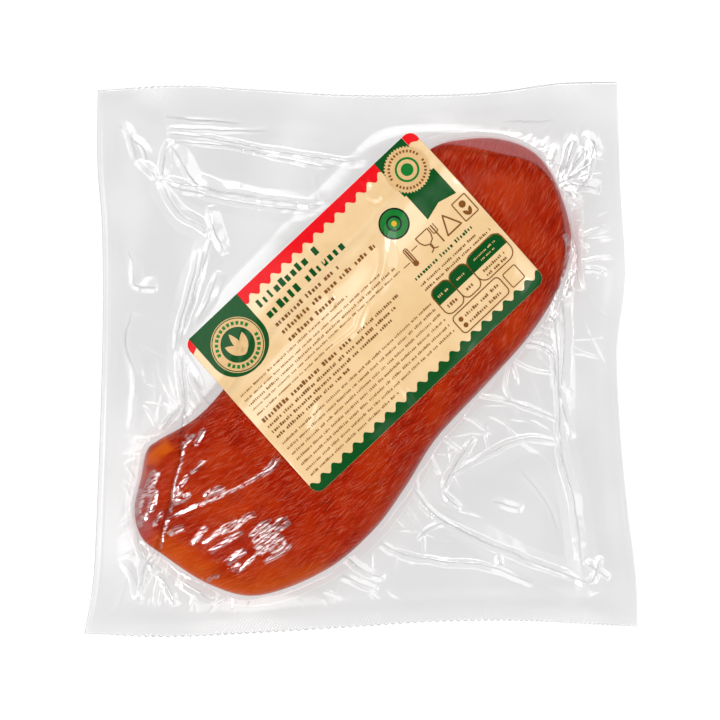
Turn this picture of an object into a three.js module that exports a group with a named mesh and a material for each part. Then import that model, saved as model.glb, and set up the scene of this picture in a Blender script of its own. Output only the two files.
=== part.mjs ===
// A vacuum pack of smoked pork, lying with its label up. A tapering block of meat is shut in a clear
// pouch: two films drawn tight over the block and lying together, creased, all round it, with a paper
// label stuck on top across the block.
// Millimetres. X runs along the pouch's wide bottom edge, Y up its sides, Z up from the table. The
// origin is on the table under the middle of the pouch.

import * as THREE from "three";

// ---- Driving dimensions ----

const SHEET_THICKNESS = 0.9; // the two films and the air caught between their creases
const MARGIN_NEAR = 9; // height of the joined films where they leave the meat
const MARGIN_FAR = 3.4; // and far from it, where they droop to the table
const MARGIN_DROOP = 26; // distance over which they droop
// Slow waves in the margins: their height, and millimetres of x and y for each radian
const MARGIN_WAVE = { height: 1.1, sine: [11, 29], cosine: [-41, 13] };

const MEAT_SIDE = 9.5; // height of the meat's widest line
const MEAT_CROWN = 28; // height of its top along the middle
const MEAT_TAPER = 7; // how much lower its two ends are
const MEAT_ROUNDING = 24; // width of the rounded shoulder, seen from above
const MEAT_LENGTH = 200; // between its ends, along the block
const MEAT_LUMPS = { height: 0.7, x: 9, y: 12 }; // soft lumps on the crown, in the same units

const WEB_START = 3; // inside the meat's outline, where the film leaves the shoulder
const WEB_WIDTH = 9; // outside it, where the film reaches the margin
const WEB_UNDER_LABEL = 16; // how much wider the web is where the label stiffens it
const WEB_CURVE = 1.8; // power of the web's fall
const BASE_ROUNDING = 7; // from the outline in to the flat the pack rests on
const BASE_WEB = 4; // from the outline out to the margin, on the underside

const LABEL_LENGTH = 113;
const LABEL_WIDTH = 73;
const LABEL_CORNER = 3.6;
const LABEL_THICKNESS = 0.35;
const LABEL_GAP = 0.45;
const LABEL_CENTRE = [1.2, 16.8];
const LABEL_LONG_ANGLE = 43.4; // degrees from X; the drape over the meat leaves the two
const LABEL_SHORT_ANGLE = 131.8; // directions a little off square

// ---- Outlines, seen from above ----

// The pouch's four edges, counterclockwise from the bottom left corner. The films have drawn in
// unevenly, so each edge has its own slow curve.
const POUCH_EDGES = [
  [[-100, -99.5], [-69, -100.5], [-36.5, -99], [-4, -97], [28.5, -95], [57.5, -94.8], [79, -95.8],
    [100, -97]],
  [[100, -97], [99.3, -78.5], [96.2, -53], [93.7, -26], [92.6, 3], [95.3, 30], [93.7, 61], [92.4, 100]],
  [[92.4, 100], [72, 99.4], [46.5, 96], [21.5, 95], [-7.5, 95.2], [-36.5, 97], [-65.5, 98.5],
    [-95.3, 97]],
  [[-95.3, 97], [-95.3, 70], [-93.7, 48], [-93.3, 17.5], [-94, -15], [-95.1, -47.5], [-96.8, -80],
    [-100, -99.5]],
];

// The meat from its thin end along the near side to its thick end, then back along the far side.
const MEAT_NEAR_SIDE = [
  [-79.5, -55.5], [-72.5, -69.5], [-54, -81], [-34.5, -85.3], [-12.5, -76], [4.5, -62], [16, -46.5],
  [27.5, -28.5], [46.5, -8], [61, 8.5], [71, 24.5], [75.5, 38.5], [75, 49.5],
];
const MEAT_FAR_SIDE = [
  [69.5, 65], [62, 74.5], [50.5, 79], [37.5, 79], [25, 75.5], [10.5, 62.5], [-6, 44],
  [-22, 26.5], [-36, 10], [-48, -9], [-59.5, -21.5], [-74.5, -31], [-78.5, -42],
];
// The line along the middle of the meat, from end to end.
const MEAT_SPINE = [
  [-62, -53], [-38.5, -47.5], [-17.5, -31.5], [3.5, 0], [24, 22.5], [38.5, 39], [55.5, 55.5],
];

// The valley between the two muscles, from the thin end in.
const VALLEY = { line: [[-70, -58.5], [-50, -49.5], [-36.5, -42], [-28, -33]], depth: 4.5, width: 5 };

// The far long side of the label, which spans from the meat's shoulder to the margin.
const LABEL_SPAN = { line: [[-60, 9.5], [14, 79.3]], reach: 20 };

// The long creases that stand up in the films where they are drawn round the block.
const CREASES = [
  { line: [[-64.7, 8.5], [-63.7, -16], [-65.5, -35], [-69, -57], [-76, -76.5], [-80.5, -89]], height: 2.6 },
  { line: [[-72, 65], [-64.7, 52], [-54.3, 44], [-60, 26], [-64.7, 8.5]], height: 2.2 },
  { line: [[66, 79], [73, 63], [74.5, 48], [71, 23], [71.6, -10.5], [71.6, -30]], height: 2.4 },
  { line: [[71.6, -30], [77.4, -52.5], [80.3, -76], [84, -86]], height: 2.6 },
  { line: [[30.5, -43.5], [59, -29], [71, -30]], height: 1.8 },
  { line: [[19, -47.5], [51.5, -69.5], [81, -81.5]], height: 2 },
  { line: [[-71, 86.5], [-44, 87], [-11, 83.5]], height: 2 },
  { line: [[-72, 65], [-38.5, 56.5], [-12, 55]], height: 2.4 },
];
const CREASE_HALF_WIDTH = 6;
const CREASE_END_SHARE = 0.4; // of its height that a crease keeps at its two ends

// ---- Mesh sizes ----

const SIDES = 124; // points round every ring
const CORNER_LEAD = 5; // points from the meat's thin end to the spot that faces the pouch's first corner
const TOP_INNER_RINGS = 12;
const TOP_OUTER_RINGS = 19;
const BASE_FLAT_SHARE = 0.5; // of the way from the spine to the outline: the rim of the flat
const BASE_INNER_SHARES = [0.72, 0.88, 1];
const BASE_OUTER_SHARES = [0.1, 0.3, 0.6, 1];
const INNER_CROWDING = 1.4; // rings lie closer together towards the outline, on both sides of it
const OUTER_CROWDING = 1.35;
const LABEL_COLUMNS = 26;
const LABEL_ROWS = 13;
const LABEL_CORNER_ROWS = 2;

// ---- Small tools ----

const clamp01 = (t) => Math.min(1, Math.max(0, t));
const lerp = (a, b, t) => a + (b - a) * t;
const between = (a, b, t) => [lerp(a[0], b[0], t), lerp(a[1], b[1], t)];
const smooth = (t) => clamp01(t) ** 2 * (3 - 2 * clamp01(t));
const radians = (degrees) => (degrees * Math.PI) / 180;

// Points on a smooth curve through the given ones, evenly spread in the curve's own parameter.
function curvePoints(points, count, closed = false) {
  const curve = new THREE.CatmullRomCurve3(
    points.map(([x, y]) => new THREE.Vector3(x, y, 0)), closed, "catmullrom", 0.5);
  return curve.getPoints(count).map((p) => [p.x, p.y]);
}

// The nearest spot of a run of points: how far away it is, and how far along it lies from 0 to 1.
function nearest(x, y, line) {
  let best = { gap: Infinity, along: 0 };
  for (let i = 0; i + 1 < line.length; i++) {
    const [ax, ay] = line[i];
    const [dx, dy] = [line[i + 1][0] - ax, line[i + 1][1] - ay];
    const t = clamp01(((x - ax) * dx + (y - ay) * dy) / (dx * dx + dy * dy));
    const gap = Math.hypot(x - ax - t * dx, y - ay - t * dy);
    if (gap < best.gap) best = { gap, along: (i + t) / (line.length - 1) };
  }
  return best;
}

// Whether a point lies inside a closed run of points, by counting the edges to its right.
function isInside(x, y, loop) {
  let inside = false;
  loop.forEach(([ax, ay], i) => {
    const [bx, by] = loop[(i + 1) % loop.length];
    if (ay > y !== by > y && x < ax + ((y - ay) * (bx - ax)) / (by - ay)) inside = !inside;
  });
  return inside;
}

// ---- The outlines as rings of points that face each other ----

const meatRing = curvePoints([...MEAT_NEAR_SIDE, ...MEAT_FAR_SIDE], SIDES, true).slice(0, SIDES);
const pouchEdge = POUCH_EDGES.flatMap((edge) => curvePoints(edge, SIDES / 4).slice(0, SIDES / 4));
const pouchRing = pouchEdge.map((_, i) => pouchEdge[(i - CORNER_LEAD + SIDES) % SIDES]);
const spine = curvePoints(MEAT_SPINE, SIDES / 2);
const spineIndex = (i) => Math.min(i, SIDES - i);

// Distance inside the meat's outline, negative outside it.
function depthInMeat(x, y) {
  const { gap } = nearest(x, y, [...meatRing, meatRing[0]]);
  return isInside(x, y, meatRing) ? gap : -gap;
}

// ---- The label's plane coordinates ----

const longWay = [Math.cos(radians(LABEL_LONG_ANGLE)), Math.sin(radians(LABEL_LONG_ANGLE))];
const shortWay = [Math.cos(radians(LABEL_SHORT_ANGLE)), Math.sin(radians(LABEL_SHORT_ANGLE))];

function labelPoint(along, across) {
  return [
    LABEL_CENTRE[0] + along * longWay[0] + across * shortWay[0],
    LABEL_CENTRE[1] + along * longWay[1] + across * shortWay[1],
  ];
}

// How far a point lies outside the label, 0 under it.
function distanceToLabel(x, y) {
  const [dx, dy] = [x - LABEL_CENTRE[0], y - LABEL_CENTRE[1]];
  const turn = longWay[0] * shortWay[1] - longWay[1] * shortWay[0];
  const along = (dx * shortWay[1] - dy * shortWay[0]) / turn;
  const across = (dy * longWay[0] - dx * longWay[1]) / turn;
  return Math.hypot(
    Math.max(0, Math.abs(along) - LABEL_LENGTH / 2), Math.max(0, Math.abs(across) - LABEL_WIDTH / 2));
}

// ---- Heights ----

// Middle of the joined films: they droop with the distance from the meat and wave slowly.
function marginLevel(x, y, outside) {
  const droop = Math.exp(-outside / MARGIN_DROOP);
  const { height, sine, cosine } = MARGIN_WAVE;
  const wave = Math.sin(x / sine[0] + y / sine[1]) * Math.cos(x / cosine[0] + y / cosine[1]);
  return lerp(MARGIN_FAR, MARGIN_NEAR, droop) + height * wave * (1 - droop);
}

// The meat's rounded shoulder and crown, by an elliptical arc in from its outline, less the valley.
function meatTop(x, y, depth) {
  const along = (x * longWay[0] + y * longWay[1]) / MEAT_LENGTH;
  const lumps = MEAT_LUMPS.height * Math.sin(x / MEAT_LUMPS.x) * Math.sin(y / MEAT_LUMPS.y);
  const crown = MEAT_CROWN - MEAT_TAPER * (2 * along) ** 2 + lumps;
  const shoulder = Math.sqrt(1 - (1 - clamp01(depth / MEAT_ROUNDING)) ** 2);
  const valley = nearest(x, y, VALLEY.line);
  const cut = VALLEY.depth * (1 - valley.along) * Math.exp(-((valley.gap / VALLEY.width) ** 2));
  return lerp(MEAT_SIDE, crown, shoulder) - cut;
}

// The films' creases: a tent along each line, low at its ends and none under the label.
function creaseHeight(x, y) {
  const clear = smooth(distanceToLabel(x, y) / CREASE_HALF_WIDTH);
  return clear * Math.max(...CREASES.map(({ line, height }) => {
    const { gap, along } = nearest(x, y, line);
    const ends = lerp(CREASE_END_SHARE, 1, Math.sin(Math.PI * along));
    return height * clamp01(1 - gap / CREASE_HALF_WIDTH) * ends;
  }));
}

// Upper film: on the meat inside, and outside it a web that falls to the margin.
function upperFilm(x, y) {
  const depth = depthInMeat(x, y);
  const bridge = Math.exp(-((nearest(x, y, LABEL_SPAN.line).gap / LABEL_SPAN.reach) ** 2));
  const start = WEB_START * (1 + bridge);
  if (depth >= start) return meatTop(x, y, depth);
  const width = start + WEB_WIDTH + WEB_UNDER_LABEL * bridge;
  const margin = marginLevel(x, y, Math.max(0, -depth)) + SHEET_THICKNESS / 2;
  const fall = clamp01(1 - (start - depth) / width) ** WEB_CURVE;
  const shoulder = meatTop(x, y, start);
  return lerp(margin, shoulder, fall) + creaseHeight(x, y) * (1 - fall);
}

// Lower film: flat on the table under the meat, and up to the margin round it.
function lowerFilm(x, y) {
  const depth = depthInMeat(x, y);
  const margin = marginLevel(x, y, Math.max(0, -depth)) - SHEET_THICKNESS / 2;
  return margin * (1 - clamp01((depth + BASE_WEB) / (BASE_WEB + BASE_ROUNDING))) ** 2;
}

// ---- Meshes ----

class Shell {
  positions = [];
  indices = [];

  // Adds one ring of points and gives back their numbers.
  ring(points) {
    const first = this.positions.length / 3;
    points.forEach((point) => this.positions.push(...point));
    return points.map((_, i) => first + i);
  }

  // Joins two rings by a band of triangles that faces left of the way from a to b.
  band(a, b) {
    a.forEach((_, i) => {
      const j = (i + 1) % a.length;
      this.indices.push(a[i], b[i], b[j], a[i], b[j], a[j]);
    });
  }

  mesh(name, material) {
    const geometry = new THREE.BufferGeometry();
    geometry.setAttribute("position", new THREE.Float32BufferAttribute(this.positions, 3));
    geometry.setIndex(this.indices);
    geometry.computeVertexNormals();
    const mesh = new THREE.Mesh(geometry, material);
    mesh.name = name;
    return mesh;
  }
}

const raised = ([x, y], surface) => [x, y, surface(x, y)];

// The seam of points along the spine, used from both sides, as the innermost ring.
function spineRing(shell, surface) {
  const seam = shell.ring(spine.map((p) => raised(p, surface)));
  return meatRing.map((_, i) => seam[spineIndex(i)]);
}

const innerRing = (shell, surface, share) =>
  shell.ring(meatRing.map((p, i) => raised(between(spine[spineIndex(i)], p, share), surface)));
const outerRing = (shell, surface, share) =>
  shell.ring(meatRing.map((p, i) => raised(between(p, pouchRing[i], share), surface)));

// One closed body: rings from the spine out over the top, round the edge and back in below.
function pouchMesh() {
  const shell = new Shell();
  const steps = (count) => Array.from({ length: count }, (_, k) => (k + 1) / count);
  const rings = [
    spineRing(shell, upperFilm),
    ...steps(TOP_INNER_RINGS).map((t) => innerRing(shell, upperFilm, 1 - (1 - t) ** INNER_CROWDING)),
    ...steps(TOP_OUTER_RINGS).map((t) => outerRing(shell, upperFilm, t ** OUTER_CROWDING)),
    ...[...BASE_OUTER_SHARES].reverse().map((share) => outerRing(shell, lowerFilm, share)),
    ...[...BASE_INNER_SHARES].reverse().map((share) => innerRing(shell, lowerFilm, share)),
    innerRing(shell, lowerFilm, BASE_FLAT_SHARE),
    spineRing(shell, lowerFilm),
  ];
  rings.slice(1).forEach((ring, k) => shell.band(rings[k], ring));
  const film = new THREE.MeshStandardMaterial({ color: 0xb4431f, roughness: 0.25, metalness: 0 });
  return shell.mesh("pouch", film);
}

// Distances of the label's rows from its middle: close together round the corners.
function labelRows() {
  const half = LABEL_WIDTH / 2;
  const straight = Array.from({ length: LABEL_ROWS }, (_, k) =>
    lerp(LABEL_CORNER - half, half - LABEL_CORNER, k / (LABEL_ROWS - 1)));
  const corner = Array.from({ length: LABEL_CORNER_ROWS }, (_, k) =>
    half - LABEL_CORNER * (1 - Math.sin(((k + 1) / LABEL_CORNER_ROWS) * (Math.PI / 2))));
  return [...corner.map((row) => -row).reverse(), ...straight, ...corner];
}

// Half the label's length at a distance across it, shorter where its corners are rounded.
function labelHalfLength(across) {
  const past = Math.max(0, Math.abs(across) - (LABEL_WIDTH / 2 - LABEL_CORNER));
  return LABEL_LENGTH / 2 - LABEL_CORNER + Math.sqrt(Math.max(0, LABEL_CORNER ** 2 - past ** 2));
}

// A thin plate that follows the upper film: two grids, one over the other, joined round their rim.
function labelMesh() {
  const shell = new Shell();
  const rows = labelRows();
  const grid = (lift) => rows.map((across) => shell.ring(
    Array.from({ length: LABEL_COLUMNS + 1 }, (_, c) => {
      const along = labelHalfLength(across) * ((2 * c) / LABEL_COLUMNS - 1);
      const [x, y] = labelPoint(along, across);
      return [x, y, upperFilm(x, y) + lift];
    })));
  const lower = grid(LABEL_GAP);
  const upper = grid(LABEL_GAP + LABEL_THICKNESS);
  const quad = (a, b, c, d) => shell.indices.push(a, b, c, a, c, d);
  const last = rows.length - 1;
  const end = LABEL_COLUMNS;
  for (let c = 0; c < LABEL_COLUMNS; c++) {
    for (let r = 0; r < last; r++) {
      quad(upper[r][c], upper[r][c + 1], upper[r + 1][c + 1], upper[r + 1][c]);
      quad(lower[r][c], lower[r + 1][c], lower[r + 1][c + 1], lower[r][c + 1]);
    }
    quad(lower[0][c], lower[0][c + 1], upper[0][c + 1], upper[0][c]);
    quad(upper[last][c], upper[last][c + 1], lower[last][c + 1], lower[last][c]);
  }
  for (let r = 0; r < last; r++) {
    quad(lower[r][0], upper[r][0], upper[r + 1][0], lower[r + 1][0]);
    quad(upper[r][end], lower[r][end], lower[r + 1][end], upper[r + 1][end]);
  }
  const paper = new THREE.MeshStandardMaterial({ color: 0xdcb47a, roughness: 0.7, metalness: 0 });
  return shell.mesh("label", paper);
}

const pack = new THREE.Group();
pack.add(pouchMesh());
pack.add(labelMesh());

export default pack;
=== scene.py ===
"""A vacuum pack of smoked pork, lying label up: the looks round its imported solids.

The meat, the two clear films, the welded band round their edge, the paper label and its print are
surfaces worked out with numpy. Lengths are millimetres until a mesh is made, and the axes are the
frame's: X along the pouch's wide bottom edge, Y up its sides, Z up from the table.
"""

import logging
import math
from dataclasses import dataclass, field
from enum import Enum
from typing import Callable

import bpy
import numpy as np
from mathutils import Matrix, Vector


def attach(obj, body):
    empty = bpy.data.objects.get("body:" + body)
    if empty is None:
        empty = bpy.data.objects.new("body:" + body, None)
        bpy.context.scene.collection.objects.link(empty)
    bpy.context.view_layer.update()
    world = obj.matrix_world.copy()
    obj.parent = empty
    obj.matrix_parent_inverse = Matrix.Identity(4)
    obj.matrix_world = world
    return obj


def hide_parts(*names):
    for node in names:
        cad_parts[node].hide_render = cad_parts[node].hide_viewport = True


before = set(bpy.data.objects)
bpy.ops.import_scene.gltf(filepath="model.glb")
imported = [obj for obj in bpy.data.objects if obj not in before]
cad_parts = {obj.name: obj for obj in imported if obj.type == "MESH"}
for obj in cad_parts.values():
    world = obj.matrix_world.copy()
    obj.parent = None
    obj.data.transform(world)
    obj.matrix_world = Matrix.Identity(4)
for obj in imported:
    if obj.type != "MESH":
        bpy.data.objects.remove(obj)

logging.basicConfig(level=logging.INFO, format="%(message)s")
log = logging.getLogger("pack")

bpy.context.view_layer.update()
MM = 0.001
PLAN_UNIT = 10.0  # millimetres in one unit of the map that runs along and across the meat's fibres
ROOT = "root"


# ---------------------------------------------------------------- curves and grids

def clamp01(t: np.ndarray) -> np.ndarray:
    """The values, held between 0 and 1."""
    return np.clip(t, 0.0, 1.0)


def lerp(a: np.ndarray, b: np.ndarray, t: np.ndarray) -> np.ndarray:
    """The value a share t of the way from a to b."""
    return a + (b - a) * t


def smooth(t: np.ndarray) -> np.ndarray:
    """A soft step: 3t squared less 2t cubed, with t held between 0 and 1."""
    t = clamp01(t)
    return t * t * (3.0 - 2.0 * t)


def curve_at(points: tuple, shares: np.ndarray, closed: bool = False) -> np.ndarray:
    """Points on a smooth curve through the given ones.

    Each is the uniform Catmull-Rom blend of its four neighbours: a cubic in the share of the span that
    leaves every given point in the direction from the one before it to the one after it.

    Args:
        points: The points that the curve passes through.
        shares: Where along the whole curve the points lie, from 0 to 1.
        closed: Whether the last point joins the first.

    Returns:
        One row of coordinates for each share.
    """
    knots = np.asarray(points, float)
    if closed:
        padded = np.vstack([knots[-1:], knots, knots[:2]])
    else:
        padded = np.vstack([2 * knots[:1] - knots[1:2], knots, 2 * knots[-1:] - knots[-2:-1]])
    spans = len(padded) - 3
    place = np.asarray(shares, float) * spans
    span = np.clip(place.astype(int), 0, spans - 1)
    t = (place - span)[:, None]
    a, b, c, d = (padded[span + k] for k in range(4))
    return 0.5 * (2 * b + (c - a) * t + (2 * a - 5 * b + 4 * c - d) * t**2 + (3 * (b - c) + d - a) * t**3)


def nearest(x: np.ndarray, y: np.ndarray, line: np.ndarray) -> tuple[np.ndarray, np.ndarray, np.ndarray]:
    """The nearest spot of a run of points, for every given point.

    On each straight piece the nearest spot is the foot of the perpendicular, held between its ends.

    Args:
        x: Coordinates along X.
        y: Coordinates along Y.
        line: The run, one point a row.

    Returns:
        The distance, how far along the run the spot lies from 0 to 1, and 1 where the point is left of
        the run, or -1 where it is right of it.
    """
    gap = np.full(x.shape, np.inf)
    along = np.zeros(x.shape)
    side = np.ones(x.shape)
    last = len(line) - 1
    for i in range(last):
        (ax, ay), (bx, by) = line[i], line[i + 1]
        dx, dy = bx - ax, by - ay
        t = clamp01(((x - ax) * dx + (y - ay) * dy) / (dx * dx + dy * dy))
        far_x, far_y = x - ax - t * dx, y - ay - t * dy
        here = np.hypot(far_x, far_y)
        closer = here < gap
        gap = np.where(closer, here, gap)
        along = np.where(closer, (i + t) / last, along)
        side = np.where(closer, np.sign(dx * far_y - dy * far_x + 1e-12), side)
    return gap, along, side


def is_inside(x: np.ndarray, y: np.ndarray, loop: np.ndarray) -> np.ndarray:
    """Whether points lie inside a closed run: an odd number of its edges pass to their right."""
    inside = np.zeros(x.shape, bool)
    for (ax, ay), (bx, by) in zip(loop, np.roll(loop, -1, axis=0)):
        if ay != by:
            crosses = ((ay > y) != (by > y)) & (x < ax + (y - ay) * (bx - ax) / (by - ay))
            inside ^= crosses
    return inside


def quads(number: np.ndarray) -> np.ndarray:
    """The quads of a grid of point numbers, which face up where rows run up and columns run right."""
    corners = [number[:-1, :-1], number[:-1, 1:], number[1:, 1:], number[1:, :-1]]
    return np.stack(corners, axis=-1)


def grid_faces(rows: int, columns: int, first: int = 0) -> np.ndarray:
    """The quads, one a row, of a grid whose points are numbered row by row from the first one."""
    return quads(first + np.arange(rows * columns).reshape(rows, columns)).reshape(-1, 4)


class SmoothNoise:
    """Seeded values on a square lattice, blended between its points by a soft step both ways."""

    SIZE = 64

    def __init__(self, seed: int) -> None:
        """Draws the lattice's values."""
        self.values = np.random.default_rng(seed).uniform(-1.0, 1.0, (self.SIZE, self.SIZE))

    def at(self, u: np.ndarray, v: np.ndarray) -> np.ndarray:
        """The blended value from -1 to 1 at places given in lattice steps."""
        column, row = np.floor(u).astype(int), np.floor(v).astype(int)
        s, t = smooth(u - column), smooth(v - row)
        pick = lambda r, c: self.values[(row + r) % self.SIZE, (column + c) % self.SIZE]
        low = lerp(pick(0, 0), pick(0, 1), s)
        high = lerp(pick(1, 0), pick(1, 1), s)
        return lerp(low, high, t)


# ---------------------------------------------------------------- meshes

@dataclass
class Surface:
    """Points, quads and values for each point, gathered until a mesh is made of them."""

    points: np.ndarray
    faces: np.ndarray
    values: dict[str, np.ndarray] = field(default_factory=dict)
    plan: np.ndarray | None = None
    flat: np.ndarray | None = None

    def piece(self, name: str, finish: "Finish", replaces: str) -> bpy.types.Object:
        """Makes the mesh, dresses it, hangs it under the root body and hides the CAD node that it stands
        for.

        Args:
            name: The piece's name.
            finish: What it is made of.
            replaces: The CAD node that the piece stands for.

        Returns:
            The new object, at the origin, with its place in its mesh.
        """
        mesh = bpy.data.meshes.new(name)
        mesh.from_pydata((self.points * MM).tolist(), [], self.faces.tolist())
        smooth_faces = np.ones(len(mesh.polygons), bool) if self.flat is None else ~self.flat
        mesh.polygons.foreach_set("use_smooth", smooth_faces)
        for key, numbers in self.values.items():
            layer = mesh.attributes.new(key, "FLOAT", "POINT")
            layer.data.foreach_set("value", np.asarray(numbers, np.float32).ravel())
        if self.plan is not None:
            corner = np.empty(len(mesh.loops), np.int32)
            mesh.loops.foreach_get("vertex_index", corner)
            layer = mesh.uv_layers.new(name="UVMap")
            layer.data.foreach_set("uv", self.plan[corner].astype(np.float32).ravel())
        mesh.materials.append(finish.material())
        mesh.update()
        thing = bpy.data.objects.new(name, mesh)
        bpy.context.scene.collection.objects.link(thing)
        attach(thing, ROOT)
        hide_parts(replaces)
        log.info("%s: %d faces", name, len(mesh.polygons))
        return thing


# ---------------------------------------------------------------- finishes

def linear(colour: str) -> tuple[float, float, float, float]:
    """An sRGB hex colour as linear light with full alpha."""
    channels = [int(colour[i:i + 2], 16) / 255.0 for i in (1, 3, 5)]
    curved = [c / 12.92 if c <= 0.04045 else ((c + 0.055) / 1.055) ** 2.4 for c in channels]
    return (*curved, 1.0)


def add_node(tree: bpy.types.NodeTree, kind: str, settings: dict | None = None,
             **inputs) -> bpy.types.Node:
    """Adds a node, sets its properties and fills its inputs.

    Args:
        tree: The material's or world's node tree.
        kind: The node's type.
        settings: The node's own properties.
        **inputs: For each input, named with _ for a space or as i0, i1 by its place, a value or a
            socket to link from.

    Returns:
        The new node.
    """
    node = tree.nodes.new(kind)
    for key, value in (settings or {}).items():
        setattr(node, key, value)
    for key, value in inputs.items():
        by_place = key[0] == "i" and key[1:].isdigit()
        socket = node.inputs[int(key[1:]) if by_place else key.replace("_", " ")]
        if isinstance(value, bpy.types.NodeSocket):
            tree.links.new(value, socket)
        else:
            socket.default_value = value
    return node


def ramp(tree: bpy.types.NodeTree, factor: bpy.types.NodeSocket, stops: list[tuple[float, str]]):
    """A colour ramp through hex colours at given places, and its colour socket."""
    node = add_node(tree, "ShaderNodeValToRGB", Fac=factor)
    while len(node.color_ramp.elements) < len(stops):
        node.color_ramp.elements.new(0.5)
    for element, (place, colour) in zip(node.color_ramp.elements, stops):
        element.position = place
        element.color = linear(colour)
    return node.outputs["Color"]


@dataclass(frozen=True)
class Finish:
    """A material by name, made once and then shared by the pieces that wear it."""

    name: str

    def material(self) -> bpy.types.Material:
        """The material, made on first use."""
        known = bpy.data.materials.get(self.name)
        if known:
            return known
        made = bpy.data.materials.new(self.name)
        made.use_nodes = True
        made.node_tree.nodes.clear()
        shader = self.shader(made.node_tree)
        add_node(made.node_tree, "ShaderNodeOutputMaterial", Surface=shader)
        return made

    def shader(self, tree: bpy.types.NodeTree) -> bpy.types.NodeSocket:
        """Fills the tree and gives back the shader's socket."""
        raise NotImplementedError


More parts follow.
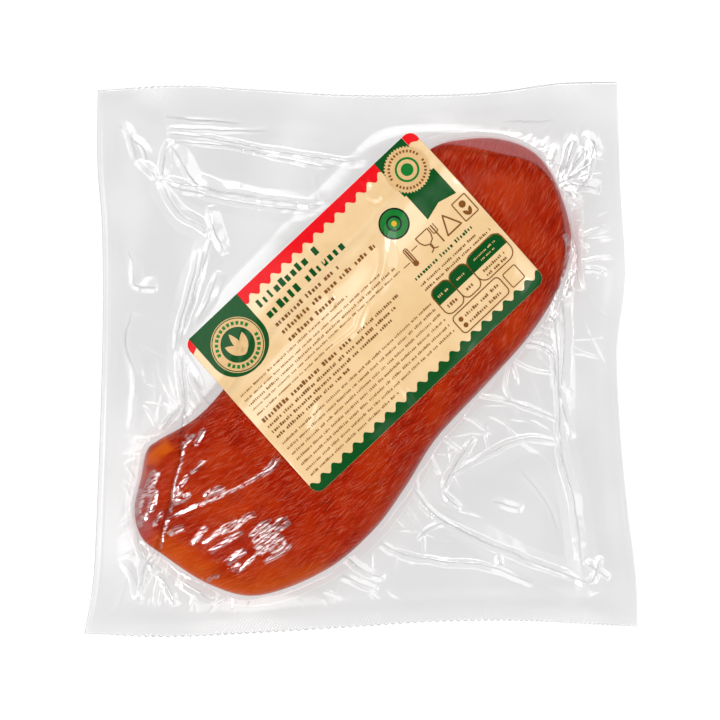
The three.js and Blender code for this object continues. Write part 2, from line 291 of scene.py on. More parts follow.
@dataclass(frozen=True)
class BarrierFilm(Finish):
    """Polyamide and polyethylene barrier film, blown and drawn tight by the vacuum.

    The eye sees a nearly clear, slightly grey sheet with mirror-like glints on its creases. One face of
    plastic of index 1.5 gives back 4% of the light, and a free sheet has two faces. Where it clings to
    the moist meat it hardly shines, and it takes the meat's fine fibres, 1.2 mm apart. Where it is folded
    over the meat it glints in flecks 2.5 mm long, and where it hangs a little clear it looks milky.
    """

    free_gloss: float = 0.085
    clinging_gloss: float = 0.002
    fold_gloss: float = 0.35
    roughness: float = 0.05
    tint: str = "#fafafa"
    # Painted shade: the tint turns to this grey along ridges and seams, in place of the shade of folded
    # film.
    painted_crease_shade: str = "#c6c6c8"
    cut_edge: str = "#d6d6d6"
    milk: str = "#bc7475"
    milk_share: float = 0.75
    crinkle_size: float = 7.0
    crinkle_height: float = 0.06
    fibre_width: float = 1.2
    fibre_length: float = 8.0
    fibre_height: float = 0.16
    pebble_size: float = 1.6
    pebble_share: float = 0.35
    fleck_length: float = 2.5
    fleck_width: float = 0.625
    fleck_range: tuple[float, float] = (0.38, 0.46)

    def relief(self, tree: bpy.types.NodeTree, clings: bpy.types.NodeSocket) -> bpy.types.NodeSocket:
        """Height of the finest relief in millimetres: soft crinkles, and fibres where the film clings."""
        place = add_node(tree, "ShaderNodeTexCoord").outputs["Object"]
        plan = add_node(tree, "ShaderNodeUVMap").outputs["UV"]
        crinkle = add_node(
            tree, "ShaderNodeTexNoise", {"noise_dimensions": "3D"}, Vector=place,
            Scale=1.0 / (self.crinkle_size * MM), Detail=2.0, Roughness=0.35)
        drawn = add_node(tree, "ShaderNodeMapping", Vector=plan,
                         Scale=(PLAN_UNIT / self.fibre_length, PLAN_UNIT / self.fibre_width, 1.0))
        fibres = add_node(tree, "ShaderNodeTexNoise", {"noise_dimensions": "2D"},
                          Vector=drawn.outputs["Vector"], Scale=1.0, Detail=2.0, Roughness=0.5)
        pebbles = add_node(tree, "ShaderNodeTexNoise", {"noise_dimensions": "3D"}, Vector=place,
                           Scale=1.0 / (self.pebble_size * MM), Detail=1.0)
        both = add_node(tree, "ShaderNodeMath", {"operation": "MULTIPLY_ADD"}, i0=pebbles.outputs["Fac"],
                        i1=self.pebble_share, i2=fibres.outputs["Fac"])
        fine = add_node(tree, "ShaderNodeMath", {"operation": "MULTIPLY"}, i0=both.outputs["Value"],
                        i1=self.fibre_height)
        soft = add_node(tree, "ShaderNodeMath", {"operation": "MULTIPLY"}, i0=crinkle.outputs["Fac"],
                        i1=self.crinkle_height)
        mixed = add_node(tree, "ShaderNodeMix", {"data_type": "FLOAT"}, Factor=clings,
                         i2=soft.outputs["Value"], i3=fine.outputs["Value"])
        return mixed.outputs[0]

    def shader(self, tree: bpy.types.NodeTree) -> bpy.types.NodeSocket:
        """Clear sheet greyed by a painted shade line along creases and seams, and milky haze, under a gloss
        that grows as the sheet turns edge on.
        """
        named = lambda name: add_node(tree, "ShaderNodeAttribute", {"attribute_name": name})
        amount = lambda name: named(name).outputs["Fac"]
        clings = amount("clings")
        bump = add_node(
            tree, "ShaderNodeBump", Strength=1.0, Distance=MM,
            Height=self.relief(tree, clings)).outputs["Normal"]
        # Painted shade: the fold mask greys the clear tint into a thin dark line on each ridge and seam.
        folded = add_node(tree, "ShaderNodeMix", {"data_type": "RGBA"}, Factor=amount("fold"),
                          i6=linear(self.tint), i7=linear(self.painted_crease_shade))
        colour = add_node(tree, "ShaderNodeMix", {"data_type": "RGBA"}, Factor=amount("rim"),
                          i6=folded.outputs[2], i7=linear(self.cut_edge))
        clear = add_node(tree, "ShaderNodeBsdfTransparent", Color=colour.outputs[2])
        milky = add_node(tree, "ShaderNodeBsdfDiffuse", Color=linear(self.milk))
        share = add_node(
            tree, "ShaderNodeMath", {"operation": "MULTIPLY"}, i0=amount("haze"), i1=self.milk_share)
        sheet = add_node(
            tree, "ShaderNodeMixShader", i0=share.outputs["Value"], i1=clear.outputs["BSDF"],
            i2=milky.outputs["BSDF"])
        gloss = add_node(
            tree, "ShaderNodeBsdfGlossy", Color=linear("#ffffff"), Roughness=self.roughness, Normal=bump)
        # Schlick's curve: the share given back rises with the fifth power of how edge-on the sheet is.
        # It is the same from both faces, as on a thin sheet.
        edge_on = add_node(tree, "ShaderNodeLayerWeight", Blend=0.5, Normal=bump).outputs["Facing"]
        steep = add_node(tree, "ShaderNodeMath", {"operation": "POWER"}, i0=edge_on, i1=5.0)
        plan = add_node(tree, "ShaderNodeUVMap").outputs["UV"]
        drawn = add_node(tree, "ShaderNodeMapping", Vector=plan,
                         Scale=(PLAN_UNIT / self.fleck_length, PLAN_UNIT / self.fleck_width, 1.0))
        flecks = add_node(tree, "ShaderNodeTexNoise", {"noise_dimensions": "2D"},
                          Vector=drawn.outputs["Vector"], Scale=1.0, Detail=1.0).outputs["Fac"]
        low, high = self.fleck_range
        ragged = add_node(tree, "ShaderNodeMapRange", i0=flecks, i1=low, i2=high, i3=0.0, i4=1.0)
        glint = add_node(tree, "ShaderNodeMath", {"operation": "MULTIPLY"}, i0=amount("glint"),
                         i1=ragged.outputs["Result"])
        laid_on = add_node(tree, "ShaderNodeMix", {"data_type": "FLOAT"}, Factor=clings,
                           i2=self.free_gloss, i3=self.clinging_gloss)
        square_on = add_node(tree, "ShaderNodeMix", {"data_type": "FLOAT"}, Factor=glint.outputs["Value"],
                             i2=laid_on.outputs[0], i3=self.fold_gloss)
        mirror = add_node(tree, "ShaderNodeMapRange", i0=steep.outputs["Value"], i1=0.0, i2=1.0,
                          i3=square_on.outputs[0], i4=1.0)
        whole = add_node(
            tree, "ShaderNodeMixShader", i0=mirror.outputs["Result"], i1=sheet.outputs["Shader"],
            i2=gloss.outputs["BSDF"])
        return whole.outputs["Shader"]


@dataclass(frozen=True)
class SmokedLean(Finish):
    """Cured and smoked lean pork: deep orange red, with fine fibres and paler hair-like strokes.

    The film that clings to it takes nearly all its own shine, so it gives back hardly any light itself.
    Muscle fibre bundles are about 1 mm across and tens of millimetres long. The map's two coordinates
    run along and across them, in hundredths of a metre.
    """

    bundle_width: float = 0.9
    bundle_length: float = 8.0
    stroke_width: float = 0.5
    stroke_length: float = 6.0
    patch_size: float = 16.0
    patch_range: tuple[float, float] = (0.45, 0.75)
    warm_share: float = 0.7
    stroke_turns: tuple[float, float] = (9.0, -14.0)
    stroke_range: tuple[float, float] = (0.58, 0.7)
    stroke_share: float = 0.5
    bundle_height: float = 0.12
    deep: str = "#7a1403"
    lean: str = "#981c04"
    bright: str = "#a82907"
    warm: str = "#b03508"
    stroke: str = "#c06448"
    fat: str = "#cc5c0f"

    def streaks(self, tree: bpy.types.NodeTree, plan: bpy.types.NodeSocket, length: float, width: float,
                turn: float, seed: float) -> bpy.types.NodeSocket:
        """Noise drawn out along a direction, as thin lines of uneven length.

        Args:
            tree: The material's node tree.
            plan: The map's coordinates.
            length: Length of a streak in millimetres.
            width: Its width in millimetres.
            turn: Angle between the streaks and the fibres, in degrees.
            seed: Shift of the noise.

        Returns:
            The noise's value from 0 to 1.
        """
        turned = add_node(tree, "ShaderNodeVectorRotate", {"rotation_type": "Z_AXIS"}, Vector=plan,
                          Angle=math.radians(turn))
        drawn = add_node(tree, "ShaderNodeMapping", Vector=turned.outputs["Vector"],
                         Location=(seed, seed, 0.0), Scale=(PLAN_UNIT / length, PLAN_UNIT / width, 1.0))
        noise = add_node(tree, "ShaderNodeTexNoise", {"noise_dimensions": "2D"},
                         Vector=drawn.outputs["Vector"], Scale=1.0, Detail=3.0, Roughness=0.55)
        return noise.outputs["Fac"]

    def shader(self, tree: bpy.types.NodeTree) -> bpy.types.NodeSocket:
        """Fibre colours, pale strokes at a slant over them, and fat where the attribute says."""
        plan = add_node(tree, "ShaderNodeUVMap").outputs["UV"]
        bundles = self.streaks(tree, plan, self.bundle_length, self.bundle_width, 0.0, 3.0)
        lean = ramp(tree, bundles, [(0.25, self.deep), (0.5, self.lean), (0.8, self.bright)])
        place = add_node(tree, "ShaderNodeTexCoord").outputs["Object"]
        patches = add_node(tree, "ShaderNodeTexNoise", Vector=place, Scale=1.0 / (self.patch_size * MM),
                           Detail=2.0)
        low, high = self.patch_range
        warmth = add_node(tree, "ShaderNodeMapRange", i0=patches.outputs["Fac"], i1=low, i2=high, i3=0.0,
                          i4=self.warm_share)
        mottled = add_node(tree, "ShaderNodeMix", {"data_type": "RGBA"}, Factor=warmth.outputs["Result"],
                           i6=lean, i7=linear(self.warm))
        turn, other_turn = self.stroke_turns
        strokes = self.streaks(tree, plan, self.stroke_length, self.stroke_width, turn, 9.0)
        crossed = self.streaks(tree, plan, self.stroke_length, self.stroke_width, other_turn, 5.0)
        longest = add_node(tree, "ShaderNodeMath", {"operation": "MAXIMUM"}, i0=strokes, i1=crossed)
        low, high = self.stroke_range
        pale = add_node(tree, "ShaderNodeMapRange", i0=longest.outputs["Value"], i1=low, i2=high, i3=0.0,
                        i4=self.stroke_share)
        veined = add_node(tree, "ShaderNodeMix", {"data_type": "RGBA"}, Factor=pale.outputs["Result"],
                          i6=mottled.outputs[2], i7=linear(self.stroke))
        fat = add_node(tree, "ShaderNodeAttribute", {"attribute_name": "fat"})
        dressed = add_node(tree, "ShaderNodeMix", {"data_type": "RGBA"}, Factor=fat.outputs["Fac"],
                           i6=veined.outputs[2], i7=linear(self.fat))
        bump = add_node(
            tree, "ShaderNodeBump", Strength=1.0, Distance=self.bundle_height * MM, Height=bundles)
        body = add_node(
            tree, "ShaderNodeBsdfPrincipled", Base_Color=dressed.outputs[2], Roughness=0.38, IOR=1.4,
            Specular_IOR_Level=0.02, Normal=bump.outputs["Normal"])
        return body.outputs["BSDF"]


@dataclass(frozen=True)
class CoatedPaper(Finish):
    """Label paper printed all over in a kraft brown, varnished, white where it is cut.

    The eye sees a flat warm brown, and mirror-like glints only where the paper is creased. The
    varnish's index of 1.8 is above the real 1.5, so that those glints show.
    """

    ground: str = "#dab886"
    paler: str = "#e2c293"
    core: str = "#f2f0ea"
    cloud_size: float = 12.0
    tooth_size: float = 0.8

    def shader(self, tree: bpy.types.NodeTree) -> bpy.types.NodeSocket:
        """Brown ground in two close tones that change in soft clouds, and the white cut edge."""
        place = add_node(tree, "ShaderNodeTexCoord").outputs["Object"]
        clouds = add_node(tree, "ShaderNodeTexNoise", Vector=place, Scale=1.0 / (self.cloud_size * MM),
                          Detail=3.0)
        ground = ramp(tree, clouds.outputs["Fac"], [(0.35, self.ground), (0.65, self.paler)])
        rim = add_node(tree, "ShaderNodeAttribute", {"attribute_name": "rim"})
        colour = add_node(tree, "ShaderNodeMix", {"data_type": "RGBA"}, Factor=rim.outputs["Fac"],
                          i6=ground, i7=linear(self.core))
        tooth = add_node(tree, "ShaderNodeTexNoise", Vector=place, Scale=1.0 / (self.tooth_size * MM),
                         Detail=2.0)
        bump = add_node(tree, "ShaderNodeBump", Strength=0.5, Distance=0.01 * MM,
                        Height=tooth.outputs["Fac"])
        body = add_node(
            tree, "ShaderNodeBsdfPrincipled", Base_Color=colour.outputs[2], Roughness=0.4, IOR=1.48,
            Specular_IOR_Level=0.05, Coat_Weight=0.8, Coat_Roughness=0.06, Coat_IOR=1.8,
            Normal=bump.outputs["Normal"])
        return body.outputs["BSDF"]


@dataclass(frozen=True)
class PrintInk(Finish):
    """Flexographic ink under the label's varnish: flat deep colour with a faint mottle."""

    colour: str = "#000000"
    mottle_size: float = 1.5
    mottle_low: float = 0.9

    def shader(self, tree: bpy.types.NodeTree) -> bpy.types.NodeSocket:
        """The ink's colour, a tenth darker in soft spots of about 1.5 mm."""
        place = add_node(tree, "ShaderNodeTexCoord").outputs["Object"]
        mottle = add_node(tree, "ShaderNodeTexNoise", Vector=place, Scale=1.0 / (self.mottle_size * MM),
                          Detail=1.0)
        value = add_node(tree, "ShaderNodeMapRange", i0=mottle.outputs["Fac"], i1=0.3, i2=0.7,
                         i3=self.mottle_low, i4=1.0)
        shaded = add_node(tree, "ShaderNodeHueSaturation", Value=value.outputs["Result"],
                          Color=linear(self.colour))
        body = add_node(
            tree, "ShaderNodeBsdfPrincipled", Base_Color=shaded.outputs["Color"], Roughness=0.4, IOR=1.48,
            Specular_IOR_Level=0.02, Coat_Weight=0.3, Coat_Roughness=0.07, Coat_IOR=1.48)
        return body.outputs["BSDF"]


@dataclass(frozen=True)
class OpalTable(Finish):
    """Opal white table lit softly from below, so that the clear pouch throws hardly any shadow."""

    colour: str = "#b4b4b4"
    glow: float = 0.52
    tooth_size: float = 4.0

    def shader(self, tree: bpy.types.NodeTree) -> bpy.types.NodeSocket:
        """A matt surface with a very faint tooth, and its own even glow."""
        place = add_node(tree, "ShaderNodeTexCoord").outputs["Object"]
        tooth = add_node(tree, "ShaderNodeTexNoise", Vector=place, Scale=1.0 / (self.tooth_size * MM))
        bump = add_node(tree, "ShaderNodeBump", Strength=0.2, Distance=0.02 * MM,
                        Height=tooth.outputs["Fac"])
        matt = add_node(tree, "ShaderNodeBsdfDiffuse", Color=linear(self.colour),
                        Normal=bump.outputs["Normal"])
        light = add_node(tree, "ShaderNodeEmission", Color=linear("#ffffff"), Strength=self.glow)
        both = add_node(
            tree, "ShaderNodeAddShader", i0=matt.outputs["BSDF"], i1=light.outputs["Emission"])
        return both.outputs["Shader"]


# ---------------------------------------------------------------- the pack's form

@dataclass(frozen=True)
class Crease:
    """A fold that stands up in the film: a tent along a line, with its own width on each side."""

    line: tuple
    height: float
    left: float
    right: float

    def measure(self, x: np.ndarray, y: np.ndarray) -> tuple:
        """Measures points against the crease.

        Args:
            x: Coordinates along X.
            y: Coordinates along Y.

        Returns:
            Which of the points it may reach, and for those the distance, the side, and a factor that
            runs out at both ends as the square root of a half sine.
        """
        steps = 6 * (len(self.line) - 1) + 1
        run = curve_at(self.line, np.linspace(0, 1, steps))
        reach = max(self.left, self.right)
        low, high = run.min(axis=0) - reach, run.max(axis=0) + reach
        near = (x > low[0]) & (x < high[0]) & (y > low[1]) & (y < high[1])
        gap, along, side = nearest(x[near], y[near], run)
        return near, gap, side, np.sqrt(np.maximum(np.sin(math.pi * along), 0.0))

    def lift(self, x: np.ndarray, y: np.ndarray) -> tuple[np.ndarray, np.ndarray]:
        """The reached points and their height: straight down from the ridge to nothing on each side."""
        near, gap, side, ends = self.measure(x, y)
        width = np.where(side > 0, self.left, self.right)
        return near, self.height * clamp01(1.0 - gap / width) * ends


def creases_from(*rows: tuple) -> tuple[Crease, ...]:
    """Creases from rows of numbers: height, width left, width right, then each point's X and Y."""
    return tuple(Crease(tuple(zip(row[3::2], row[4::2])), *row[:3]) for row in rows)


@dataclass(frozen=True)
class WrinkleKind:
    """Short seeded wrinkles round the meat.

    The stretch is the part of the outline that they start from, as shares of it. The start is how far
    out from it, and the spread how far they turn from straight out. Each pair is a least and a most.
    """

    count: int
    stretch: tuple[float, float]
    spread: float
    start: tuple[float, float]
    length: tuple[float, float]
    height: tuple[float, float]
    taller_near: float


@dataclass
class Survey:
    """What the form knows of a set of points before it gives them heights."""

    x: np.ndarray
    y: np.ndarray
    bent_x: np.ndarray
    bent_y: np.ndarray
    depth: np.ndarray
    bridge: np.ndarray
    clear: np.ndarray


@dataclass
class PackForm:
    """Heights of the meat and of both films over the table, from the pack's driving dimensions."""

    sheet_gap: float = 0.9
    margin_near: float = 9.0
    margin_far: float = 3.4
    margin_droop: float = 26.0
    margin_wave: float = 1.1
    margin_swell: float = 0.4
    meat_side: float = 9.5
    meat_crown: float = 28.0
    meat_taper: float = 7.0
    meat_rounding: float = 24.0
    meat_length: float = 200.0
    fibre_bend: float = 0.002
    web_start: float = 0.1
    web_width: float = 1.8
    web_uneven: float = 0.6
    label_web_start: float = 6.0
    label_web_width: float = 22.0
    web_curve: float = 1.8
    base_rounding: float = 7.0
    base_web: float = 4.0
    base_lift: float = 0.05
    base_gap: float = 0.2
    film_gap: float = 0.12
    outline_samples: int = 372

    # Relief in millimetres, and the sizes of its ridges and lumps along and across the fibres.
    fibre_relief: float = 0.22
    lump_relief: float = 0.55
    relief_start: float = 9.0
    pressed_share: float = 0.2
    ridge_size: tuple[float, float] = (9.0, 1.9)
    broad_size: tuple[float, float] = (14.0, 4.2)
    broad_share: float = 0.8
    lump_size: float = 13.0
    crown_wave: float = 0.7
    crown_runs: tuple[float, float] = (9.0, 12.0)
    wave_runs: tuple[float, float, float, float] = (11.0, 29.0, 13.0, 41.0)
    swell_size: float = 14.0
    web_noise: float = 7.0

    label_length: float = 113.0
    label_width: float = 73.0
    label_centre: tuple[float, float] = (1.2, 16.8)
    label_long_angle: float = 43.4
    label_short_angle: float = 131.8
    label_clear: float = 6.0

    meat_near_side: tuple = (
        (-81.7, -54.5), (-79.3, -64.5), (-71.5, -71), (-55, -81.5), (-37, -85.6), (-13, -76.6), (4.5, -62),
        (16, -46.5), (27.5, -28.5), (46.5, -8), (61, 8.5), (71, 24.5), (75.5, 38.5), (75, 49.5))
    meat_far_side: tuple = (
        (69.5, 65), (62, 74.5), (50.5, 79), (37.5, 79), (25, 75.5), (10.5, 62.5), (-6, 44),
        (-22, 26.5), (-36, 10), (-48, -9), (-59.5, -21.5), (-73, -29.5), (-77.3, -33.5), (-79.3, -43))
    meat_spine: tuple = (
        (-62, -53), (-38.5, -47.5), (-17.5, -31.5), (3.5, 0), (24, 22.5), (38.5, 39), (55.5, 55.5))
    valley_line: tuple = ((-70, -58.5), (-50, -49.5), (-36.5, -42), (-28, -33))
    valley_depth: float = 4.5
    valley_width: float = 5.0
    label_span: tuple = ((-60, 9.5), (14, 79.3))
    span_reach: float = 20.0

    # The eight long creases round the block are wide tents; the finer ones stand on them.
    wide_creases: tuple = creases_from(
        (2.0, 6, 6, -64.7, 8.5, -63.7, -16, -65.5, -35, -69, -57, -76, -76.5, -80.5, -89),
        (1.8, 6, 6, -72, 65, -64.7, 52, -54.3, 44, -60, 26, -64.7, 8.5),
        (2.0, 6, 6, 66, 79, 73, 63, 74.5, 48, 71, 23, 71.6, -10.5, 71.6, -30),
        (2.2, 6, 6, 71.6, -30, 77.4, -52.5, 80.3, -76, 84, -86),
        (1.6, 6, 6, 30.5, -43.5, 59, -29, 71, -30), (1.8, 6, 6, 19, -47.5, 51.5, -69.5, 81, -81.5),
        (1.6, 6, 6, -71, 86.5, -44, 87, -11, 83.5), (2.0, 6, 6, -72, 65, -38.5, 56.5, -12, 55),
    )
    creases: tuple = creases_from(
        (1.6, 2.2, 1.4, -71, 87.5, -58, 86, -44, 85), (1, 1.4, 1.4, -70, 83.5, -53, 82.5, -33.5, 82.5),
        (1.3, 1.6, 2.2, -70, 81.5, -53, 79.5, -33.5, 75.5, -15, 72.5, 3.5, 70.5),
        (1, 2, 1.2, -68.5, 78.5, -47.5, 76.5, -25.5, 71.5, -11, 69),
        (1.6, 3, 2, -68.5, 79, -70.5, 74.5, -71.5, 69.5, -72.5, 65),
        (1.5, 3.4, 2, -88, 84.5, -84, 80, -81.5, 71.5), (1.2, 3, 1.6, -85, 80.5, -80, 77, -77.5, 71.5),
        (1.3, 2.6, 2, -81.5, 71.5, -77.5, 69, -74, 65),
        (1.5, 4.6, 2, -68.5, 77, -64.5, 70.5, -60, 63.5, -51.5, 60, -44, 59),
        (1.9, 2, 2.6, -72.5, 65, -56.5, 61.5, -38, 58, -10, 54.5),
        (1, 1.6, 1.6, -71.5, 63, -54.5, 58.5, -36, 55, -15.5, 52.5),
        (1.8, 3.2, 2.2, -72.5, 65, -69, 57, -64.5, 52, -58, 48, -54.5, 45.5),
        (1.4, 3.6, 2.6, -54.5, 55.5, -53, 46.5, -49, 37.5),
        (1.4, 4.2, 2.2, -84, 39, -82.5, 32.5, -81.5, 26, -73.5, 25.5),
        (1.3, 4.2, 2.6, -83, 16.5, -85, 5, -81.5, -9.5, -84, -26.5),
        (1.5, 1.7, 1.7, -57, 39, -60, 26, -63.5, 13, -66.5, 2.5),
        (1.1, 1.4, 1.4, -59, 38.5, -62, 25.5, -65.5, 13, -67.5, 3),
        (1.1, 1.8, 1.4, -66.5, 2.5, -65.5, -7, -63.5, -17, -62, -26),
        (1.4, 3.4, 1.8, -51.5, 32, -55.5, 21, -59.5, 12), (1.1, 4.4, 2, -63.5, 1, -59.5, -9.5, -53, -18.5),
        (0.9, 1.4, 1.4, -64, -17, -68.5, -21, -72.5, -26),
        (1.3, 1.3, 1.3, -54.5, 43, -59.5, 24.5, -64.5, 8.5, -65, -4, -63.5, -16, -65, -26, -65.5, -35, -67,
         -46.5, -69, -57, -72, -67.5, -80.5, -86.5),
        (0.8, 1.2, 1.2, -66, -40.5, -68.5, -51.5, -71.5, -62, -75.5, -73),
        (1.3, 2.6, 2, -72.5, -67.5, -78, -75, -80.5, -86.5),
        (1.2, 2.4, 1.8, -81, -62, -79, -70.5, -73.5, -78), (1, 2.4, 1.8, -73.5, -78, -69, -84, -67, -89.5),
        (0.9, 2.2, 1.8, -87, -73, -82.5, -78.5, -80.5, -86.5),
        (1.2, 3.6, 2.4, -65.5, -80, -59, -84, -53, -87.5), (1.4, 2, 2.4, 72.5, 63.5, 74.5, 71.5, 77, 79),
        (1.5, 2.6, 1.8, 72.5, 63.5, 77.5, 70.5, 81, 76), (1.4, 3, 2, 72.5, 63.5, 79, 67.5, 84.5, 71),
        (1.4, 3.2, 2.2, 72.5, 63.5, 80, 62.5, 86.5, 61), (1.2, 3.4, 2.4, 80.5, 81.5, 83.5, 77, 85.5, 72.5),
        (1.2, 2, 2.6, 73, 55.5, 76, 46.5, 78, 35.5, 79, 24),
        (1.6, 3, 1.8, 73, 21, 73.5, 10, 73, -0.5, 72.5, -13.5),
        (1.2, 1.6, 1.6, 59, 5.5, 64.5, 5, 68, 2.5, 69.5, -0.5, 70, -11.5),
        (1.1, 1.8, 1.4, 69.5, -0.5, 72.5, -15, 76.5, -29.5),
        (1.5, 2.8, 2, 70, 14, 71.5, -10.5, 72, -31.5, 74.5, -42, 77, -51.5, 79, -73),
        (1, 2, 2, 81, -73.5, 85.5, -76.5, 90, -80), (1, 2, 2, 86.5, -71.5, 85.5, -76.5, 83, -81.5),
        (1.4, 1.8, 1.8, 41, -28.5, 36, -35.5, 31, -43.5, 29.5, -47.5),
        (1.1, 1.6, 1.6, 29.5, -47.5, 32, -51, 36, -54),
        (1, 1.6, 1.4, 30.5, -43.5, 45, -35, 59, -29, 71, -30.5),
        (1.3, 1.8, 2, 19, -47.5, 24, -54, 30.5, -59, 41, -64.5, 51.5, -69.5, 67.5, -75.5, 83, -81.5),
        (1.3, 1.6, 2, 7, -66.5, 12.5, -69.5, 18, -71.5, 31.5, -73.5, 45, -75, 63, -81.5),
        (0.9, 1.4, 1.4, 20.5, -65.5, 25, -61, 30.5, -59.5),
        (0.6, 2.6, 2.2, 47, -52, 52.5, -53, 58.5, -54.5),
        (0.9, 1.6, 1.6, 49.5, -71, 50, -73.5, 50.5, -75.5), (0.8, 1.4, 1.4, 80.5, 32, 84.5, 32, 89, 31),
        (1.2, 2.6, 2, -6, -71.5, 0.5, -76.5, 8.5, -79.5),
        (0.9, 2.2, 1.8, -7.5, -78.5, -0.5, -81.5, 6, -84), (0.9, 1.6, 1.4, 39.5, 87, 55.5, 85.5, 70.5, 86),
        (0.8, 1.6, 1.2, 50.5, -15, 61, -18, 70.5, -22.5),
        (0.4, 1.8, 1.6, 57.5, -40.5, 66.5, -51.5, 72, -64),
    )
    # Narrow folds where the film clings: the thin end's glints, and crumples right of the thick end.
    tight_folds: tuple = creases_from(
        (0.35, 0.8, 0.8, -68.5, -57.5, -62, -54.5, -55.5, -52, -46.5, -47.5, -38.5, -43.5, -33.5, -39.5,
         -30.5, -34.5),
        (0.4, 1.1, 1.1, -36, -42.5, -32, -39.5, -29, -35.5, -28, -32),
        (0.45, 1.3, 1.3, -68, -52.5, -64.5, -51, -61, -49), (0.35, 1, 1, -67, -50, -63.5, -48.5),
        (0.5, 1.4, 1.4, -56.5, -50, -53, -48, -49, -46.5),
        (0.4, 1, 1, -66.5, -48, -64, -45, -61.5, -41.5, -58.5, -39, -56, -36.5),
        (0.4, 1.1, 1.1, -64.5, -33, -62.5, -30, -59.5, -27.5),
        (0.4, 1.1, 1.1, -59.5, -31.5, -57.5, -28, -56, -25),
        (0.5, 1.4, 1.4, -69, -63.5, -66.5, -62, -63.5, -61),
        (0.4, 1.2, 1.2, -61.5, -67.5, -59.5, -65, -57, -62, -55.5, -60.5),
        (0.4, 1.1, 1.1, -57, -67, -53, -64, -49, -61, -44.5, -58),
        (0.45, 1.3, 1.3, -50.5, -63, -45, -60, -41, -57, -37.5, -56),
        (0.4, 1.1, 1.1, -54.5, -70, -50.5, -67.5, -46.5, -64.5, -42.5, -62),
        (0.5, 1.4, 1.4, -48.5, -74, -45, -71.5, -41.5, -69), (0.35, 1, 1, -46.5, -76.5, -43.5, -73.5),
        (0.45, 1.3, 1.3, -39, -66, -35, -63, -30.5, -59.5, -26.5, -56.5),
        (0.45, 1.3, 1.3, -38, -68.5, -33.5, -65, -29.5, -61.5, -25.5, -58.5),
        (0.4, 1.1, 1.1, -40, -64, -36.5, -61, -32, -58), (0.4, 1.2, 1.2, -36, -70, -32, -67, -28, -63.5),
        (0.3, 0.8, 0.8, -45, -77.5, -41.5, -74.5, -38, -71, -34.5, -68),
        (0.4, 1.1, 1.1, -34.5, -73.5, -31.5, -71.5, -28, -69.5, -25, -66.5),
        (0.35, 1, 1, -33, -69.5, -29.5, -68.5, -27, -65.5),
        (0.4, 1, 1, -55.5, -80.5, -53, -79, -51, -78.5),
        (0.7, 2, 2, -78, -50, -76.5, -46.5, -75, -43, -73.5, -40.5),
        (0.9, 2.2, 2.6, -81.5, -56.5, -81, -52, -79.5, -47),
        (0.5, 1.4, 1.4, -76.5, -55.5, -75, -51.5, -74, -47),
        (0.5, 1.4, 1.4, -80.5, -60.5, -79, -58, -76.5, -56.5),
        (0.4, 1, 1, -74.5, -61, -73, -58, -71.5, -55),
        (0.3, 0.6, 0.6, -62.5, -26, -65.5, -40.5, -67.5, -49.5, -69.5, -58.5, -72.5, -69.5),
        (0.8, 1.6, 1.6, 74, 45, 75, 39, 74.5, 32.5, 72.5, 25.5),
        (0.8, 1.6, 1.6, 76.5, 43, 77.5, 37.5, 76, 30.5, 74, 22.5),
        (0.6, 1.4, 1.4, 71.5, 24.5, 70, 19.5, 69, 13), (0.7, 1.6, 1.6, 72, 63, 75, 61.5, 78, 58.5),
        (1, 2.4, 1.6, 77, 59.5, 80.5, 64.5, 83, 69.5, 83.5, 79),
        (1, 2.2, 1.6, 72, 63.5, 74, 69.5, 75, 75.5, 77.5, 80),
        (0.7, 1.4, 1.4, 67.5, 69, 69, 73.5, 70.5, 77),
    )
    # Low seams that carry a painted dark shade line: the fold across the thin end, and the one where the
    # film leaves the thick end.
    seams: tuple = creases_from(
        (0.3, 0.6, 0.6, -64, -26, -64.5, -33, -67, -40.5, -68.5, -48.5, -70, -55, -71.5, -61, -74, -67.5,
         -75, -72),
        (0.35, 0.6, 0.6, 24, 75.5, 31.5, 75.5, 39.5, 74.5, 48.5, 73, 57.5, 72.5, 63, 70, 67.5, 65.5, 71, 61,
         72.5, 55.5, 73.5, 45.5, 73, 39, 70, 24.5, 64.5, 15.5),
    )
    # The painted shade line: its strength on the seams, its reach to each side, and the crease height at
    # which it is full.
    seam_shade_strength: float = 0.8
    shade_line_reach: float = 0.5
    line_height: float = 1.4
    glint_height: float = 0.1
    fold_on_meat: float = 0.13
    fold_edge: float = 0.8
    fold_uneven: float = 0.35
    fold_noise: float = 6.0
    wide_share: float = 0.5
    crease_bend: float = 0.35
    bend_size: float = 5.0
    fine_bend_size: float = 1.9
    fine_bend_share: float = 0.4
    wrinkle_kinds: tuple = (
        WrinkleKind(240, (0.0, 1.0), 0.6, (-1.0, 18.0), (5.0, 22.0), (0.08, 0.35), 1.0),
        WrinkleKind(120, (0.36, 0.62), 0.9, (-1.5, 1.5), (2.5, 6.0), (0.25, 0.65), 0.0))
    wrinkle_bend: float = 0.08
    wrinkle_width: tuple[float, float] = (0.6, 1.2)
    taller_reach: float = 3.0
    wrinkle_seed: int = 11

    def __post_init__(self) -> None:
        """Works out the outline, the label's two directions and the small random wrinkles."""
        shares = np.arange(self.outline_samples) / self.outline_samples
        self.outline = curve_at(self.meat_near_side + self.meat_far_side, shares, closed=True)
        self.closed_outline = np.vstack([self.outline, self.outline[:1]])
        directions = [math.radians(a) for a in (self.label_long_angle, self.label_short_angle)]
        self.long_way, self.short_way = (np.array([math.cos(a), math.sin(a)]) for a in directions)
        self.fibres, self.lumps = SmoothNoise(5), SmoothNoise(8)
        self.wrinkles = self.stretch_wrinkles()

